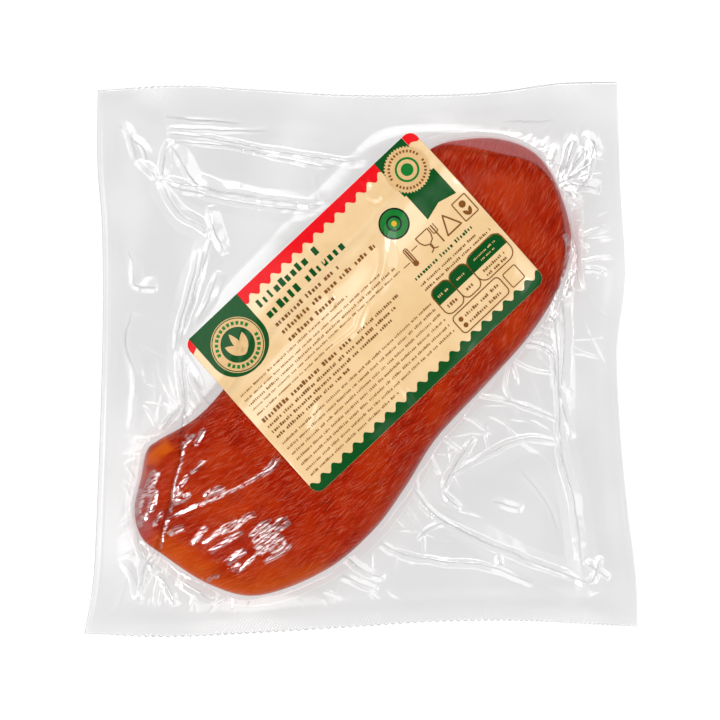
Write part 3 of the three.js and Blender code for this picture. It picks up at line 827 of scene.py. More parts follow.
    def stretch_wrinkles(self) -> list[Crease]:
        """Short wrinkles that fan out from the meat's outline, and denser crumples at its thick end."""
        draw = np.random.default_rng(self.wrinkle_seed)
        around = self.outline_samples
        drawn = [
            (kind, place) for kind in self.wrinkle_kinds
            for place in draw.integers(*(int(share * around) for share in kind.stretch), kind.count)]
        made = []
        for kind, place in drawn:
            here, ahead = self.outline[place], self.outline[(place + 3) % around]
            way = (ahead - here) / np.linalg.norm(ahead - here)
            out = np.array([way[1], -way[0]]) + way * draw.normal(0.0, kind.spread)
            out /= np.linalg.norm(out)
            off = draw.uniform(*kind.start)
            first = here + out * off
            length, bend = draw.uniform(*kind.length), draw.normal(0.0, self.wrinkle_bend)
            middle = first + out * length / 2 + np.array([-out[1], out[0]]) * bend * length
            line = (tuple(first), tuple(middle), tuple(first + out * length))
            taller = 1 + kind.taller_near * math.exp(-off / self.taller_reach)
            height = draw.uniform(*kind.height) * taller
            left, right = draw.uniform(*self.wrinkle_width), draw.uniform(*self.wrinkle_width)
            made.append(Crease(line, height, left, right))
        return made

    def label_place(self, x: np.ndarray, y: np.ndarray) -> tuple[np.ndarray, np.ndarray]:
        """The label's own coordinates of points: along its long side and across it."""
        dx, dy = x - self.label_centre[0], y - self.label_centre[1]
        (lx, ly), (sx, sy) = self.long_way, self.short_way
        turn = lx * sy - ly * sx
        return (dx * sy - dy * sx) / turn, (dy * lx - dx * ly) / turn

    def survey(self, x: np.ndarray, y: np.ndarray) -> Survey:
        """Measures points against the meat's outline and the label.

        The bent coordinates are shifted by soft noise, and give creases their uneven run. Depth is the
        distance in from the meat's outline, negative outside. The bridge is a bell round the label's far
        long side. Clear rises from 0 at the label to 1 at 6 mm from it.

        Args:
            x: Coordinates along X.
            y: Coordinates along Y.

        Returns:
            The measures.
        """
        gap, _, _ = nearest(x, y, self.closed_outline)
        depth = np.where(is_inside(x, y, self.outline), gap, -gap)
        span_gap, _, _ = nearest(x, y, np.asarray(self.label_span, float))
        along, across = self.label_place(x, y)
        off = np.hypot(
            np.maximum(0, np.abs(along) - self.label_length / 2),
            np.maximum(0, np.abs(across) - self.label_width / 2))
        wide, fine = self.bend_size, self.fine_bend_size
        bend = [
            self.crease_bend * (self.lumps.at(x / wide + shift, y / wide)
                                + self.fine_bend_share * self.lumps.at(x / fine, y / fine + shift))
            for shift in (10, 30)]
        bridge = np.exp(-((span_gap / self.span_reach) ** 2))
        return Survey(x, y, x + bend[0], y + bend[1], depth, bridge, smooth(off / self.label_clear))

    def fibre_plan(self, x: np.ndarray, y: np.ndarray) -> tuple[np.ndarray, np.ndarray]:
        """Coordinates along and across the muscle fibres, in millimetres.

        The fibres bend evenly, as parabolas about the block's long direction: they lie flatter than it
        at the thin end and steeper at the thick one.
        """
        (lx, ly) = self.long_way
        along = x * lx + y * ly
        return along, y * lx - x * ly - self.fibre_bend * along**2

    def relief(self, s: Survey, depth: np.ndarray) -> np.ndarray:
        """Low ridges along the fibres, pressed flat under the label, and soft lumps.

        Both fade out at the meat's rounded side.
        """
        along, across = self.fibre_plan(s.x, s.y)
        (length, width), (long, broad) = self.ridge_size, self.broad_size
        ridges = (self.fibres.at(along / length, across / width)
                  + self.broad_share * self.fibres.at(along / long + 20, across / broad))
        lumps = self.lumps.at(s.x / self.lump_size, s.y / self.lump_size)
        pressed = lerp(self.pressed_share, 1.0, s.clear)
        relief = self.fibre_relief * ridges * pressed + self.lump_relief * lumps
        return smooth(depth / self.relief_start) * relief

    def meat_top(self, s: Survey, depth: np.ndarray) -> np.ndarray:
        """The meat's upper side: an elliptical arc from its widest line to the crown, less a valley."""
        along = (s.x * self.long_way[0] + s.y * self.long_way[1]) / self.meat_length
        crown = self.meat_crown - self.meat_taper * (2 * along) ** 2
        run_x, run_y = self.crown_runs
        crown = crown + self.crown_wave * np.sin(s.x / run_x) * np.sin(s.y / run_y)
        shoulder = np.sqrt(1 - (1 - clamp01(depth / self.meat_rounding)) ** 2)
        gap, share, _ = nearest(s.x, s.y, np.asarray(self.valley_line, float))
        cut = self.valley_depth * (1 - share) * np.exp(-((gap / self.valley_width) ** 2))
        return lerp(self.meat_side, crown, shoulder) - cut + self.relief(s, depth)

    def margin(self, s: Survey) -> np.ndarray:
        """Middle of the joined films: they droop with the distance from the meat and wave slowly."""
        droop = np.exp(-np.maximum(0, -s.depth) / self.margin_droop)
        a, b, c, d = self.wave_runs
        wave = np.sin(s.x / a + s.y / b) * np.cos(s.y / c - s.x / d)
        swell = self.margin_swell * self.lumps.at(s.x / self.swell_size, s.y / self.swell_size)
        level = lerp(self.margin_far, self.margin_near, droop)
        return level + (self.margin_wave * wave + swell) * (1 - droop)

    def highest(self, s: Survey, creases: tuple) -> np.ndarray:
        """The highest of the creases' tents at each point."""
        top = np.zeros(s.x.shape)
        for crease in creases:
            near, lift = crease.lift(s.bent_x, s.bent_y)
            top[near] = np.maximum(top[near], lift)
        return top

    def folds(self, s: Survey) -> np.ndarray:
        """All the creases together: the finer tents on half the wide ones, none under the label."""
        fine = np.maximum(self.highest(s, self.creases), self.highest(s, self.wrinkles) * (1 - s.bridge))
        uneven = 1.0 + self.fold_uneven * self.lumps.at(s.x / self.fold_noise, s.y / self.fold_noise)
        return s.clear * (fine * uneven + self.wide_share * self.highest(s, self.wide_creases))

    def painted_shade_lines(self, s: Survey) -> np.ndarray:
        """How near points lie to a ridge or a seam, from 1 on it to 0 at half a millimetre: the mask of the
        painted shade line that greys the film there.
        """
        line = np.zeros(s.x.shape)
        strengths = [min(1.0, crease.height / self.line_height) for crease in self.creases]
        strengths += [self.seam_shade_strength] * len(self.seams)
        for crease, strength in zip(self.creases + self.seams, strengths):
            near, gap, _, ends = crease.measure(s.bent_x, s.bent_y)
            line[near] = np.maximum(line[near], clamp01(1 - gap / self.shade_line_reach) * ends * strength)
        return line * s.clear

    def glints(self, s: Survey) -> np.ndarray:
        """Where tight folds stand up: 1 from a tenth of a millimetre of height on."""
        return smooth(self.highest(s, self.tight_folds) * s.clear / self.glint_height)

    def upper(self, s: Survey) -> np.ndarray:
        """Upper film: close on the meat inside, and outside it a web that falls to the margin."""
        start = lerp(self.web_start, self.label_web_start, s.bridge)
        uneven = 1 + self.web_uneven * self.lumps.at(s.x / self.web_noise + 50, s.y / self.web_noise)
        width = start + lerp(self.web_width * uneven, self.label_web_width, s.bridge)
        fall = clamp01(1 - (start - s.depth) / width) ** self.web_curve
        shoulder = self.meat_top(s, np.maximum(s.depth, start)) + self.film_gap
        web = lerp(self.margin(s) + self.sheet_gap / 2, shoulder, fall)
        tight = self.highest(s, self.tight_folds + self.seams) * s.clear
        on_meat = smooth((s.depth + self.fold_edge) / (2 * self.fold_edge))
        return web + tight + self.folds(s) * lerp(1.0, self.fold_on_meat, on_meat)

    def lower(self, s: Survey) -> np.ndarray:
        """Lower film: flat on the table under the meat, and up to the margin round it."""
        rise = (1 - clamp01((s.depth + self.base_web) / (self.base_web + self.base_rounding))) ** 2
        return self.base_lift + (self.margin(s) - self.sheet_gap / 2 - self.base_lift) * rise

    def meat_base(self, depth: np.ndarray) -> np.ndarray:
        """The meat's underside: a quarter ellipse in from its widest line to the flat it rests on."""
        arc = np.sqrt(1 - (1 - clamp01(depth / self.base_rounding)) ** 2)
        return lerp(self.meat_side, self.base_lift + self.base_gap, arc)


# ---------------------------------------------------------------- the meat

@dataclass
class SmokedPork:
    """The cut of pork: rings of points from its spine out over the top, round its side and back below."""

    form: PackForm
    around: int = 744
    top_rings: int = 72
    base_rings: int = 22
    fat_line: tuple = ((-70, -72), (-56, -81), (-42, -85), (-28, -83.5), (-17, -79.5))
    fat_samples: int = 40
    fat_reach: float = 11.0
    fat_share: float = 0.45
    fat_level: float = 1.1
    fat_ragged: float = 0.25
    ragged_size: tuple[float, float] = (12.0, 3.0)
    fat_corner: tuple = ((-80, -42), (-77.5, -36.5), (-72.5, -32.5))
    fat_corner_reach: float = 4.6
    corner_share: float = 0.8
    corner_contrast: float = 1.3
    corner_blotchy: float = 0.6
    blotch_size: tuple[float, float] = (3.2, 2.2)

    def rings(self, shares: np.ndarray) -> tuple[np.ndarray, np.ndarray]:
        """Points between the spine, taken from both its sides, and the outline.

        Args:
            shares: How far out each ring lies, from 0 at the spine to 1 at the outline.

        Returns:
            The points' X and Y, one ring a row.
        """
        turn = np.arange(self.around) / self.around
        outline = curve_at(self.form.meat_near_side + self.form.meat_far_side, turn, closed=True)
        spine = curve_at(self.form.meat_spine, 1 - np.abs(2 * turn - 1))
        points = spine + (outline - spine) * shares[:, None, None]
        return points[..., 0], points[..., 1]

    def fat(self, x: np.ndarray, y: np.ndarray) -> np.ndarray:
        """How much fat shows: a soft ragged strip along one side, and blotches in one corner."""
        along, across = self.form.fibre_plan(x, y)
        long, wide = self.ragged_size
        ragged = self.form.fibres.at(along / long, across / wide)
        gap, _, _ = nearest(x, y, curve_at(self.fat_line, np.linspace(0, 1, self.fat_samples)))
        strip = smooth(self.fat_level - gap / self.fat_reach + self.fat_ragged * ragged)
        long, wide = self.blotch_size
        blotchy = self.form.lumps.at(x / long, y / wide)
        gap, _, _ = nearest(x, y, np.asarray(self.fat_corner, float))
        near = 1.0 - gap / self.fat_corner_reach + self.corner_blotchy * blotchy
        return np.maximum(self.fat_share * strip, self.corner_share * smooth(self.corner_contrast * near))

    def build(self) -> bpy.types.Object:
        """Makes the closed body.

        Rings crowd towards the outline by a cosine, where the side turns down. The first and last
        rings lie on the spine, where the two halves of each meet.
        """
        form = self.form
        top = np.sin(np.linspace(0, math.pi / 2, self.top_rings + 1))
        base = np.sin(np.linspace(math.pi / 2, 0, self.base_rings + 1))[1:]
        x, y = self.rings(np.concatenate([top, base]))
        gap, _, _ = nearest(x, y, form.closed_outline)
        seen = form.survey(x, y)
        depth = np.where(seen.depth > 0, gap, 0.0)
        depth[self.top_rings] = 0.0
        z = form.meat_top(seen, depth)
        z[self.top_rings + 1:] = form.meat_base(depth[self.top_rings + 1:])
        points = np.stack([x, y, z], axis=-1).reshape(-1, 3)
        half = self.around // 2
        number = np.arange(len(points)).reshape(x.shape)
        mirrored = half - np.abs(np.arange(self.around) - half)
        number[0] = number[0][mirrored]
        number[-1] = number[-1][mirrored]
        number = np.hstack([number, number[:, :1]])
        faces = quads(number)[..., [0, 3, 2, 1]].reshape(-1, 4)
        used, faces = np.unique(faces, return_inverse=True)
        surface = Surface(
            points[used], faces.reshape(-1, 4), {"fat": self.fat(x, y).ravel()[used]},
            np.stack(form.fibre_plan(x, y), axis=-1).reshape(-1, 2)[used] / PLAN_UNIT)
        return surface.piece("smoked_pork", SmokedLean("cured smoked pork"), "pouch")


# ---------------------------------------------------------------- the pouch

class Sheet(Enum):
    """The films of the pouch: the upper one in its two halves, and the lower one."""

    UPPER_LEFT = "film_upper_left"
    UPPER_RIGHT = "film_upper_right"
    LOWER = "film_lower"


@dataclass
class Pouch:
    """The clear pouch: an upper and a lower film, and the welded band that joins them all round."""

    form: PackForm
    bottom: tuple = ((-100, -99.5), (-69, -100.5), (-36.5, -99), (-4, -97), (28.5, -95), (57.5, -94.8),
                     (79, -95.8), (100, -97))
    right: tuple = ((100, -97), (99.3, -78.5), (96.2, -53), (93.7, -26), (92.6, 3), (95.3, 30),
                    (93.7, 61), (92.4, 100))
    top: tuple = ((-95.3, 97), (-65.5, 98.5), (-36.5, 97), (-7.5, 95.2), (21.5, 95), (46.5, 96),
                  (72, 99.4), (92.4, 100))
    left: tuple = ((-100, -99.5), (-96.8, -80), (-95.1, -47.5), (-94, -15), (-93.3, 17.5), (-93.7, 48),
                   (-95.3, 70), (-95.3, 97))
    band_bottom: float = 11.5
    band_right: float = 3.0
    band_top: float = 8.5
    band_left: float = 6.0
    width: float = 190.0
    length: float = 195.0
    cells: int = 442
    lower_cells: int = 221
    seam_gap: float = 0.04
    open_reach: float = 10.0
    meat_reach: float = 3.0
    tight_reach: float = 1.5
    cling_margin: float = 0.3

    # The welded band. Its ramps say how fast a thing grows with the share of the way along or across.
    band_thickness: float = 0.14
    band_columns: int = 16
    plain_step: float = 1.2
    rib_pitch: float = 1.0
    rib_height: float = 0.05
    top_ribs: float = 0.6
    tooth_pitch: float = 2.2
    tooth_height: float = 0.3
    tooth_wander: tuple[float, float] = (0.8, 7.0)
    line_share: float = 0.32
    line_spread: float = 0.06
    line_height: float = 0.2
    end_ramp: float = 12.0
    outer_ramp: float = 9.0
    inner_ramp: float = 1.8
    rib_ramp: float = 3.0
    tooth_ramp: float = 12.0
    rim_ramp: float = 15.0

    haze_spots: tuple = (((52, 79), 17.0, 6.2), ((76, 45), 16.0, 2.6), ((-79, -48), 13.0, 3.0))
    haze_level: float = 0.6
    haze_edge: float = 0.8
    haze_least: float = 0.4
    haze_patches: tuple = (
        ((-77.5, -48), (3.0, 10.0), 0.5), ((-78, -60), (3.0, 5.0), 0.5), ((77.5, 40), (2.2, 12.0), 0.5))

    def shares(self) -> tuple[float, float, float, float]:
        """Where the band's inner edge lies: left, right, bottom and top, as shares of the pouch."""
        return (self.band_left / self.width, 1 - self.band_right / self.width,
                self.band_bottom / self.length, 1 - self.band_top / self.length)

    def plan(self, u: np.ndarray, v: np.ndarray) -> tuple[np.ndarray, np.ndarray]:
        """Points of the pouch by their shares across and up it.

        A Coons patch: the blend of its bottom and top edges, plus the blend of its left and right
        edges, less the straight blend of its corners.

        Args:
            u: Share of the way from the left edge to the right one.
            v: Share of the way from the bottom edge to the top one.

        Returns:
            The points' X and Y.
        """
        flat_u, flat_v = u.ravel(), v.ravel()
        bottom, top = curve_at(self.bottom, flat_u), curve_at(self.top, flat_u)
        left, right = curve_at(self.left, flat_v), curve_at(self.right, flat_v)
        a, b = flat_u[:, None], flat_v[:, None]
        ends = self.bottom[0], self.bottom[-1], self.top[0], self.top[-1]
        corners = [np.asarray(corner, float) for corner in ends]
        low, high = lerp(corners[0], corners[1], a), lerp(corners[2], corners[3], a)
        point = lerp(bottom, top, b) + lerp(left, right, a) - lerp(low, high, b)
        return point[:, 0].reshape(u.shape), point[:, 1].reshape(u.shape)

    def haze(self, seen: Survey) -> np.ndarray:
        """How milky the upper film looks, where it stands a little clear of the meat.

        Round each spot a strip inside the meat's outline is milky, wide at the spot and running out to
        both sides, with a sharp inner edge. A few soft patches lie across the outline.
        """
        reach = np.zeros(seen.x.shape)
        for (x, y), spread, wide in self.haze_spots:
            reach += wide * np.exp(-((seen.x - x) ** 2 + (seen.y - y) ** 2) / spread**2)
        inner = smooth((reach - seen.depth) / self.haze_edge)
        outer = smooth(1.0 + np.minimum(seen.depth, 0) / self.haze_edge)
        haze = self.haze_level * inner * outer * clamp01(reach - self.haze_least)
        for (x, y), (wide, high), amount in self.haze_patches:
            bell = np.exp(-((seen.x - x) / wide) ** 2 - ((seen.y - y) / high) ** 2)
            haze = np.maximum(haze, amount * bell)
        return haze

    def film(self, sheet: Sheet, left: float, right: float, columns: int, rows: int) -> bpy.types.Object:
        """Makes one film or part of one, running into the welded band at its edges.

        Args:
            sheet: Which film, and which part.
            left: Where it starts, as a share of the width inside the band.
            right: Where it ends.
            columns: Number of cells across it.
            rows: Number of cells up it.

        Returns:
            The piece.
        """
        u0, u1, v0, v1 = self.shares()
        u, v = np.meshgrid(
            lerp(u0, u1, np.linspace(left, right, columns + 1)), np.linspace(v0, v1, rows + 1))
        x, y = self.plan(u, v)
        seen = self.form.survey(x, y)
        in_from_edge = np.minimum(
            np.minimum((u - u0) * self.width, (u1 - u) * self.width),
            np.minimum((v - v0) * self.length, (v1 - v) * self.length))
        on_meat = smooth(seen.depth / self.meat_reach + 1.0) * smooth(in_from_edge / self.tight_reach)
        open_share = np.maximum(smooth(in_from_edge / self.open_reach), on_meat)
        middle = self.form.margin(seen)
        faces = grid_faces(*x.shape)
        values = {}
        if sheet is Sheet.LOWER:
            z = lerp(middle - self.seam_gap, self.form.lower(seen), open_share)
            faces = faces[:, ::-1]
        else:
            z = lerp(middle + self.seam_gap, self.form.upper(seen), open_share)
            # The fold value is the mask of the painted shade line on ridges and seams.
            values = {
                "haze": self.haze(seen), "clings": smooth(seen.depth + self.cling_margin),
                "fold": self.form.painted_shade_lines(seen), "glint": self.form.glints(seen)}
        plan = np.stack(self.form.fibre_plan(x, y), axis=-1).reshape(-1, 2) / PLAN_UNIT
        surface = Surface(np.stack([x, y, z], axis=-1).reshape(-1, 3), faces, values, plan)
        finish = BarrierFilm("polyamide polyethylene film")
        return surface.piece(sheet.value, finish, "pouch")

    def films(self) -> list[bpy.types.Object]:
        """Makes the upper film in two halves, which share their middle line, and the lower film."""
        half = self.cells // 2
        return [
            self.film(Sheet.UPPER_LEFT, 0.0, 0.5, half, self.cells),
            self.film(Sheet.UPPER_RIGHT, 0.5, 1.0, half, self.cells),
            self.film(Sheet.LOWER, 0.0, 1.0, self.lower_cells, self.lower_cells)]

    def band(self) -> bpy.types.Object:
        """Makes the welded band: a thin ring with ribs across its bottom and top runs.

        A section of the band runs from its inner edge, where it meets the lower film, out below, up its
        cut edge and in again to the upper film, and is carried once round the pouch. Ribs are a sine
        along the edge, and wider waves make its bottom and top edges toothed. The left run has a raised
        line along it. Real ribs are 0.75 mm apart and are drawn 1 mm apart, so that they show.
        """
        u0, u1, v0, v1 = self.shares()
        fine, coarse = self.rib_pitch / 4, self.plain_step
        sides = (
            (self.width, fine, 1.0, lambda a: (a, 0 * a), lambda a: (lerp(u0, u1, a), v0 + 0 * a)),
            (self.length, coarse, 0.0, lambda a: (1 + 0 * a, a), lambda a: (u1 + 0 * a, lerp(v0, v1, a))),
            (self.width, fine, self.top_ribs,
             lambda a: (1 - a, 1 + 0 * a), lambda a: (lerp(u1, u0, a), v1 + 0 * a)),
            (self.length, coarse, 0.0, lambda a: (0 * a, 1 - a), lambda a: (u0 + 0 * a, lerp(v1, v0, a))),
        )
        outer, inner, place, strength, on_left = [], [], [], [], []
        for run, step, ribbed, outside, inside in sides:
            share = np.arange(int(run / step)) / int(run / step)
            outer.append(np.stack(outside(share)))
            inner.append(np.stack(inside(share)))
            place.append(share * run)
            ends = smooth(share * self.end_ramp) * smooth((1 - share) * self.end_ramp)
            strength.append(ends * ribbed)
            on_left.append(ends * (inside is sides[3][4]))
        outer, inner = np.hstack(outer), np.hstack(inner)
        place, strength, on_left = (np.concatenate(parts) for parts in (place, strength, on_left))
        ribs = np.sin(2 * math.pi * place / self.rib_pitch) * strength
        wander, run = self.tooth_wander
        teeth = np.cos(2 * math.pi * place / self.tooth_pitch + wander * np.sin(place / run)) * strength
        across = np.linspace(0, 1, self.band_columns)[:, None]
        over = outer[:, None] + (inner - outer)[:, None] * across[None]
        x, y = self.plan(over[0], over[1])
        middle = self.form.margin(self.form.survey(x, y))
        inside = smooth(across * self.outer_ramp) * smooth((1 - across) * self.inner_ramp)
        half = self.seam_gap + self.band_thickness / 2 * inside
        off_line = (across - self.line_share) / self.line_spread
        line = self.line_height * on_left * np.exp(-(off_line**2))
        ribbed = self.rib_height * ribs * smooth((1 - across) * self.rib_ramp)
        upper = middle + half + (ribbed + line) * inside
        lower = middle - half
        y += self.tooth_height * teeth * np.sign(y) * clamp01(1 - across * self.tooth_ramp)
        rim = np.repeat(clamp01(1 - across * self.rim_ramp), x.shape[1], axis=1)
        top = np.stack([x, y, upper], axis=-1)
        below = np.stack([x, y, lower], axis=-1)[::-1]
        rows = np.concatenate([top, below])
        count, columns = rows.shape[:2]
        number = np.pad(np.arange(count * columns).reshape(count, columns), (0, 1), mode="wrap")
        faces = np.delete(quads(number), len(across) - 1, axis=0).reshape(-1, 4)
        cut_edge = np.arange(len(faces)) // columns == count - 2
        surface = Surface(
            rows.reshape(-1, 3), faces, {"rim": np.concatenate([rim, rim[::-1]])}, flat=cut_edge)
        welded = BarrierFilm("welded film", crinkle_height=0.03)
        return surface.piece("welded_band", welded, "pouch")


# ---------------------------------------------------------------- the label

class Ink(Enum):
    """The label's printing colours, with their layer above the paper."""

    GREEN = ("green", "#07491a", 1)
    RED = ("red", "#dc0a16", 1)
    CREAM = ("cream", "#d3ad79", 2)
    DARK = ("dark", "#0c1a10", 2)
    LIME = ("lime", "#14702a", 3)
    BROWN = ("brown", "#7a4a1c", 3)
    UMBER = ("umber", "#916235", 3)
    YELLOW = ("yellow", "#d8a60c", 4)


@dataclass(frozen=True)
class Line:
    """A printed line, drawn as a row of small plain blocks in groups."""

    start: float
    end: float
    middle: float
    height: float
    ink: Ink


@dataclass
class PaperLabel:
    """The paper label draped over the upper film, and the flat shapes printed on it."""

    form: PackForm
    lift: float = 0.22
    thickness: float = 0.16
    ink_step: float = 0.03
    mesh_step: float = 0.4
    corner: float = 3.6
    columns: int = 276
    rows: int = 178
    crowding: float = 0.999
    crowded_share: float = 0.5
    rim_width: float = 0.5
    rim_fade: float = 0.3
    scallop: float = 5.3
    far_edge: float = 36.5
    creases: tuple = creases_from(
        (1.5, 5.5, 2.7, 28, 23.5, 25.5, 18, 22, 13.5, 16.5, 7, 8.5, 3, 0.5, 0.5),
        (0.8, 2.8, 2, 10, 1.5, 3.5, 1.5, -2.5, -0.5, -6.5, -2.5, -14, -2, -20.5, -1.5),
        (0.6, 1.9, 2.2, -43, -17, -39, -15.5, -33.5, -12.5),
        (0.55, 2, 3.2, -56.5, 13.5, -50, 17, -42.5, 21, -32.5, 27),
        (0.45, 1.7, 1.7, 31.5, 36, 31.5, 33, 30.5, 31), (0.45, 1.7, 1.7, 28.5, 30.5, 30, 27, 32, 25.5),
        (0.45, 1.7, 1.7, -4.5, 13.5, -6, 10.5, -8.5, 8), (0.35, 3, 3, 3, 34, 2, 26, -1, 19),
        (0.4, 3, 3, -58, 2, -47, 6, -38, 4), (0.3, 2, 2, -9, -22, -8, -30, -9, -37),
    )
    text: tuple = (
        Line(-27, 4.5, 28.2, 3.1, Ink.GREEN), Line(-27, 11.8, 23.0, 3.1, Ink.GREEN),
        Line(-27, 4.5, 18.4, 1.7, Ink.BROWN), Line(-27, 19.7, 14.9, 1.7, Ink.BROWN),
        Line(-27, -3.8, 11.3, 1.7, Ink.BROWN),
        Line(-53.5, 0, 8.4, 0.8, Ink.UMBER), Line(-53.5, 13.3, 6.0, 0.7, Ink.UMBER),
        Line(-53.5, 19, 3.9, 0.9, Ink.UMBER), Line(-53.5, 19.5, 1.8, 0.7, Ink.UMBER),
        Line(-53.5, -15.5, -0.6, 0.7, Ink.UMBER),
        Line(-53.5, -8.7, -3.6, 1.6, Ink.BROWN), Line(-7, 14, -3.9, 1.0, Ink.BROWN),
        Line(-53.5, 9.5, -6.4, 1.1, Ink.BROWN), Line(-53.5, 5.7, -8.8, 1.1, Ink.BROWN),
        Line(-53.5, -17.5, -11.2, 1.1, Ink.BROWN),
        *(Line(-53.5, 20.3 if row < 6 else -10, -14.3 - 2.53 * row, 0.85, Ink.UMBER) for row in range(7)),
        Line(21.3, 49.8, -4.2, 1.4, Ink.GREEN), Line(21.3, 49.7, -7.3, 0.9, Ink.BROWN),
        Line(21.3, 54.3, -9.5, 0.9, Ink.BROWN), Line(26, 42.8, -25.9, 1.1, Ink.BROWN),
        Line(26, 41.5, -28.6, 1.1, Ink.BROWN), Line(23.2, 28.6, -14.5, 0.9, Ink.CREAM),
        Line(32.2, 36.4, -14.5, 0.9, Ink.CREAM), Line(41.5, 52.5, -13.6, 0.7, Ink.CREAM),
        Line(43.5, 50.5, -15.4, 0.7, Ink.CREAM), Line(23.6, 28.2, -19.4, 1.3, Ink.BROWN),
        Line(32.6, 36.2, -19.4, 1.3, Ink.BROWN), Line(41.5, 52.3, -18.9, 1.0, Ink.BROWN),
        Line(41.5, 51.5, -20.8, 1.0, Ink.BROWN),
    )
    arc_step: float = 3.0
    toothed_step: float = 1.5
    stroke_step: float = 0.6
    petal_grid: tuple[int, int] = (24, 9)
    petal_curve: float = 0.8
    block_share: float = 0.62
    gap_share: float = 0.26
    least_gap: float = 0.16
    group_range: tuple[int, int] = (3, 11)
    block_widths: tuple[float, float] = (0.5, 1.1)
    tall_share: float = 0.3
    low_block: float = 0.74
    emblem: tuple[float, float] = (-42.0, 22.7)
    stamp: tuple[float, float] = (45.6, 26.6)
    badge: tuple[float, float] = (29.0, 15.6)

    def place(self, along: np.ndarray, across: np.ndarray, lift: float) -> np.ndarray:
        """Points over the upper film by the label's own coordinates, with its own creases on top."""
        form = self.form
        x = form.label_centre[0] + along * form.long_way[0] + across * form.short_way[0]
        y = form.label_centre[1] + along * form.long_way[1] + across * form.short_way[1]
        rise = np.zeros(x.shape)
        for crease in self.creases:
            near, height = crease.lift(along, across)
            rise[near] = np.maximum(rise[near], smooth(height / crease.height) * crease.height)
        return np.stack([x, y, form.upper(form.survey(x, y)) + rise + lift], axis=-1)

    def half_length(self, across: np.ndarray) -> np.ndarray:
        """Half the label's length at a distance across it, shorter where its corners are rounded."""
        past = np.maximum(0, np.abs(across) - (self.form.label_width / 2 - self.corner))
        return self.form.label_length / 2 - self.corner + np.sqrt(np.maximum(0, self.corner**2 - past**2))

    def paper(self) -> bpy.types.Object:
        """Makes the paper: a closed thin plate whose rows crowd round its rounded corners."""
        half = self.form.label_width / 2
        crowded = half * np.sin(np.linspace(-1, 1, self.rows + 1) * math.pi / 2 * self.crowding)
        across = lerp(np.linspace(-half, half, self.rows + 1), crowded, self.crowded_share)
        side = np.linspace(-1, 1, self.columns + 1)
        s = self.half_length(across)[:, None] * side[None, :]
        t = np.repeat(across[:, None], self.columns + 1, axis=1)
        top = self.place(s, t, self.lift + self.thickness)
        below = self.place(s, t, self.lift)
        rows, columns = s.shape
        count = rows * columns
        edge = np.concatenate([
            np.arange(columns), np.arange(1, rows) * columns + columns - 1,
            (rows - 1) * columns + np.arange(columns - 2, -1, -1), np.arange(rows - 2, 0, -1) * columns])
        after = np.roll(edge, -1)
        faces = np.vstack([
            grid_faces(rows, columns), grid_faces(rows, columns, first=count)[:, ::-1],
            np.stack([edge + count, after + count, after, edge], axis=-1)])
        rim = smooth((t - (half - self.rim_width)) / self.rim_fade).ravel()
        surface = Surface(
            np.vstack([top.reshape(-1, 3), below.reshape(-1, 3)]), faces,
            {"rim": np.concatenate([rim, np.ones(count)])})
        finish = CoatedPaper("kraft brown label paper")
        return surface.piece("paper_label", finish, "label")

    def patch(self, s: np.ndarray, t: np.ndarray) -> tuple[np.ndarray, np.ndarray, np.ndarray]:
        """A grid of the label's coordinates with its quads turned to face up."""
        faces = grid_faces(*s.shape)
        i, j = (min(count // 2, count - 2) for count in s.shape)
        ds = (s[i, j + 1] - s[i, j], t[i, j + 1] - t[i, j])
        dt = (s[i + 1, j] - s[i, j], t[i + 1, j] - t[i, j])
        if ds[0] * dt[1] - ds[1] * dt[0] < 0:
            faces = faces[:, ::-1]
        return s.ravel(), t.ravel(), faces

    def strip(self, start: float, end: float, low: Callable, high: Callable) -> tuple:
        """The field between two curves over a stretch along the label."""
        columns = max(2, int((end - start) / self.mesh_step) + 1)
        s = np.linspace(start, end, columns)
        rows = 2 + int(np.max(high(s) - low(s)) / self.mesh_step)
        share = np.linspace(0, 1, rows)[:, None]
        return self.patch(np.repeat(s[None], rows, axis=0), lerp(low(s)[None], high(s)[None], share))

    def upright(self, low: float, high: float, left: Callable, right: Callable) -> tuple:
        """The field between two curves over a stretch across the label."""
        t, s, faces = self.strip(low, high, left, right)
        return s, t, faces[:, ::-1]

    def disc(self, centre: tuple, radius: float) -> tuple:
        """A disc: a square grid bulged out so that its rim is a circle and no point is a pole."""
        side = np.linspace(-1, 1, 2 * max(4, round(radius / self.mesh_step)) + 1)
        u, v = np.meshgrid(side, side)
        s = centre[0] + radius * u * np.sqrt(1 - v**2 / 2)
        t = centre[1] + radius * v * np.sqrt(1 - u**2 / 2)
        return self.patch(s, t)

    def ring(self, centre: tuple, inner: float, outer: float, start: float = 0.0, end: float = 360.0,
             teeth: int = 0, tooth: float = 0.0) -> tuple:
        """A ring or an arc of one, whose outer edge may have round teeth."""
        count = max(3, int((end - start) / (self.toothed_step if teeth else self.arc_step)) + 1)
        angle = np.radians(np.linspace(start, end, count))
        share = np.linspace(0, 1, 2 + int((outer - inner) / self.mesh_step))[:, None]
        rim = outer + tooth * np.cos(teeth * angle)
        radius = lerp(inner, rim[None], share)
        return self.patch(centre[0] + radius * np.cos(angle), centre[1] + radius * np.sin(angle))

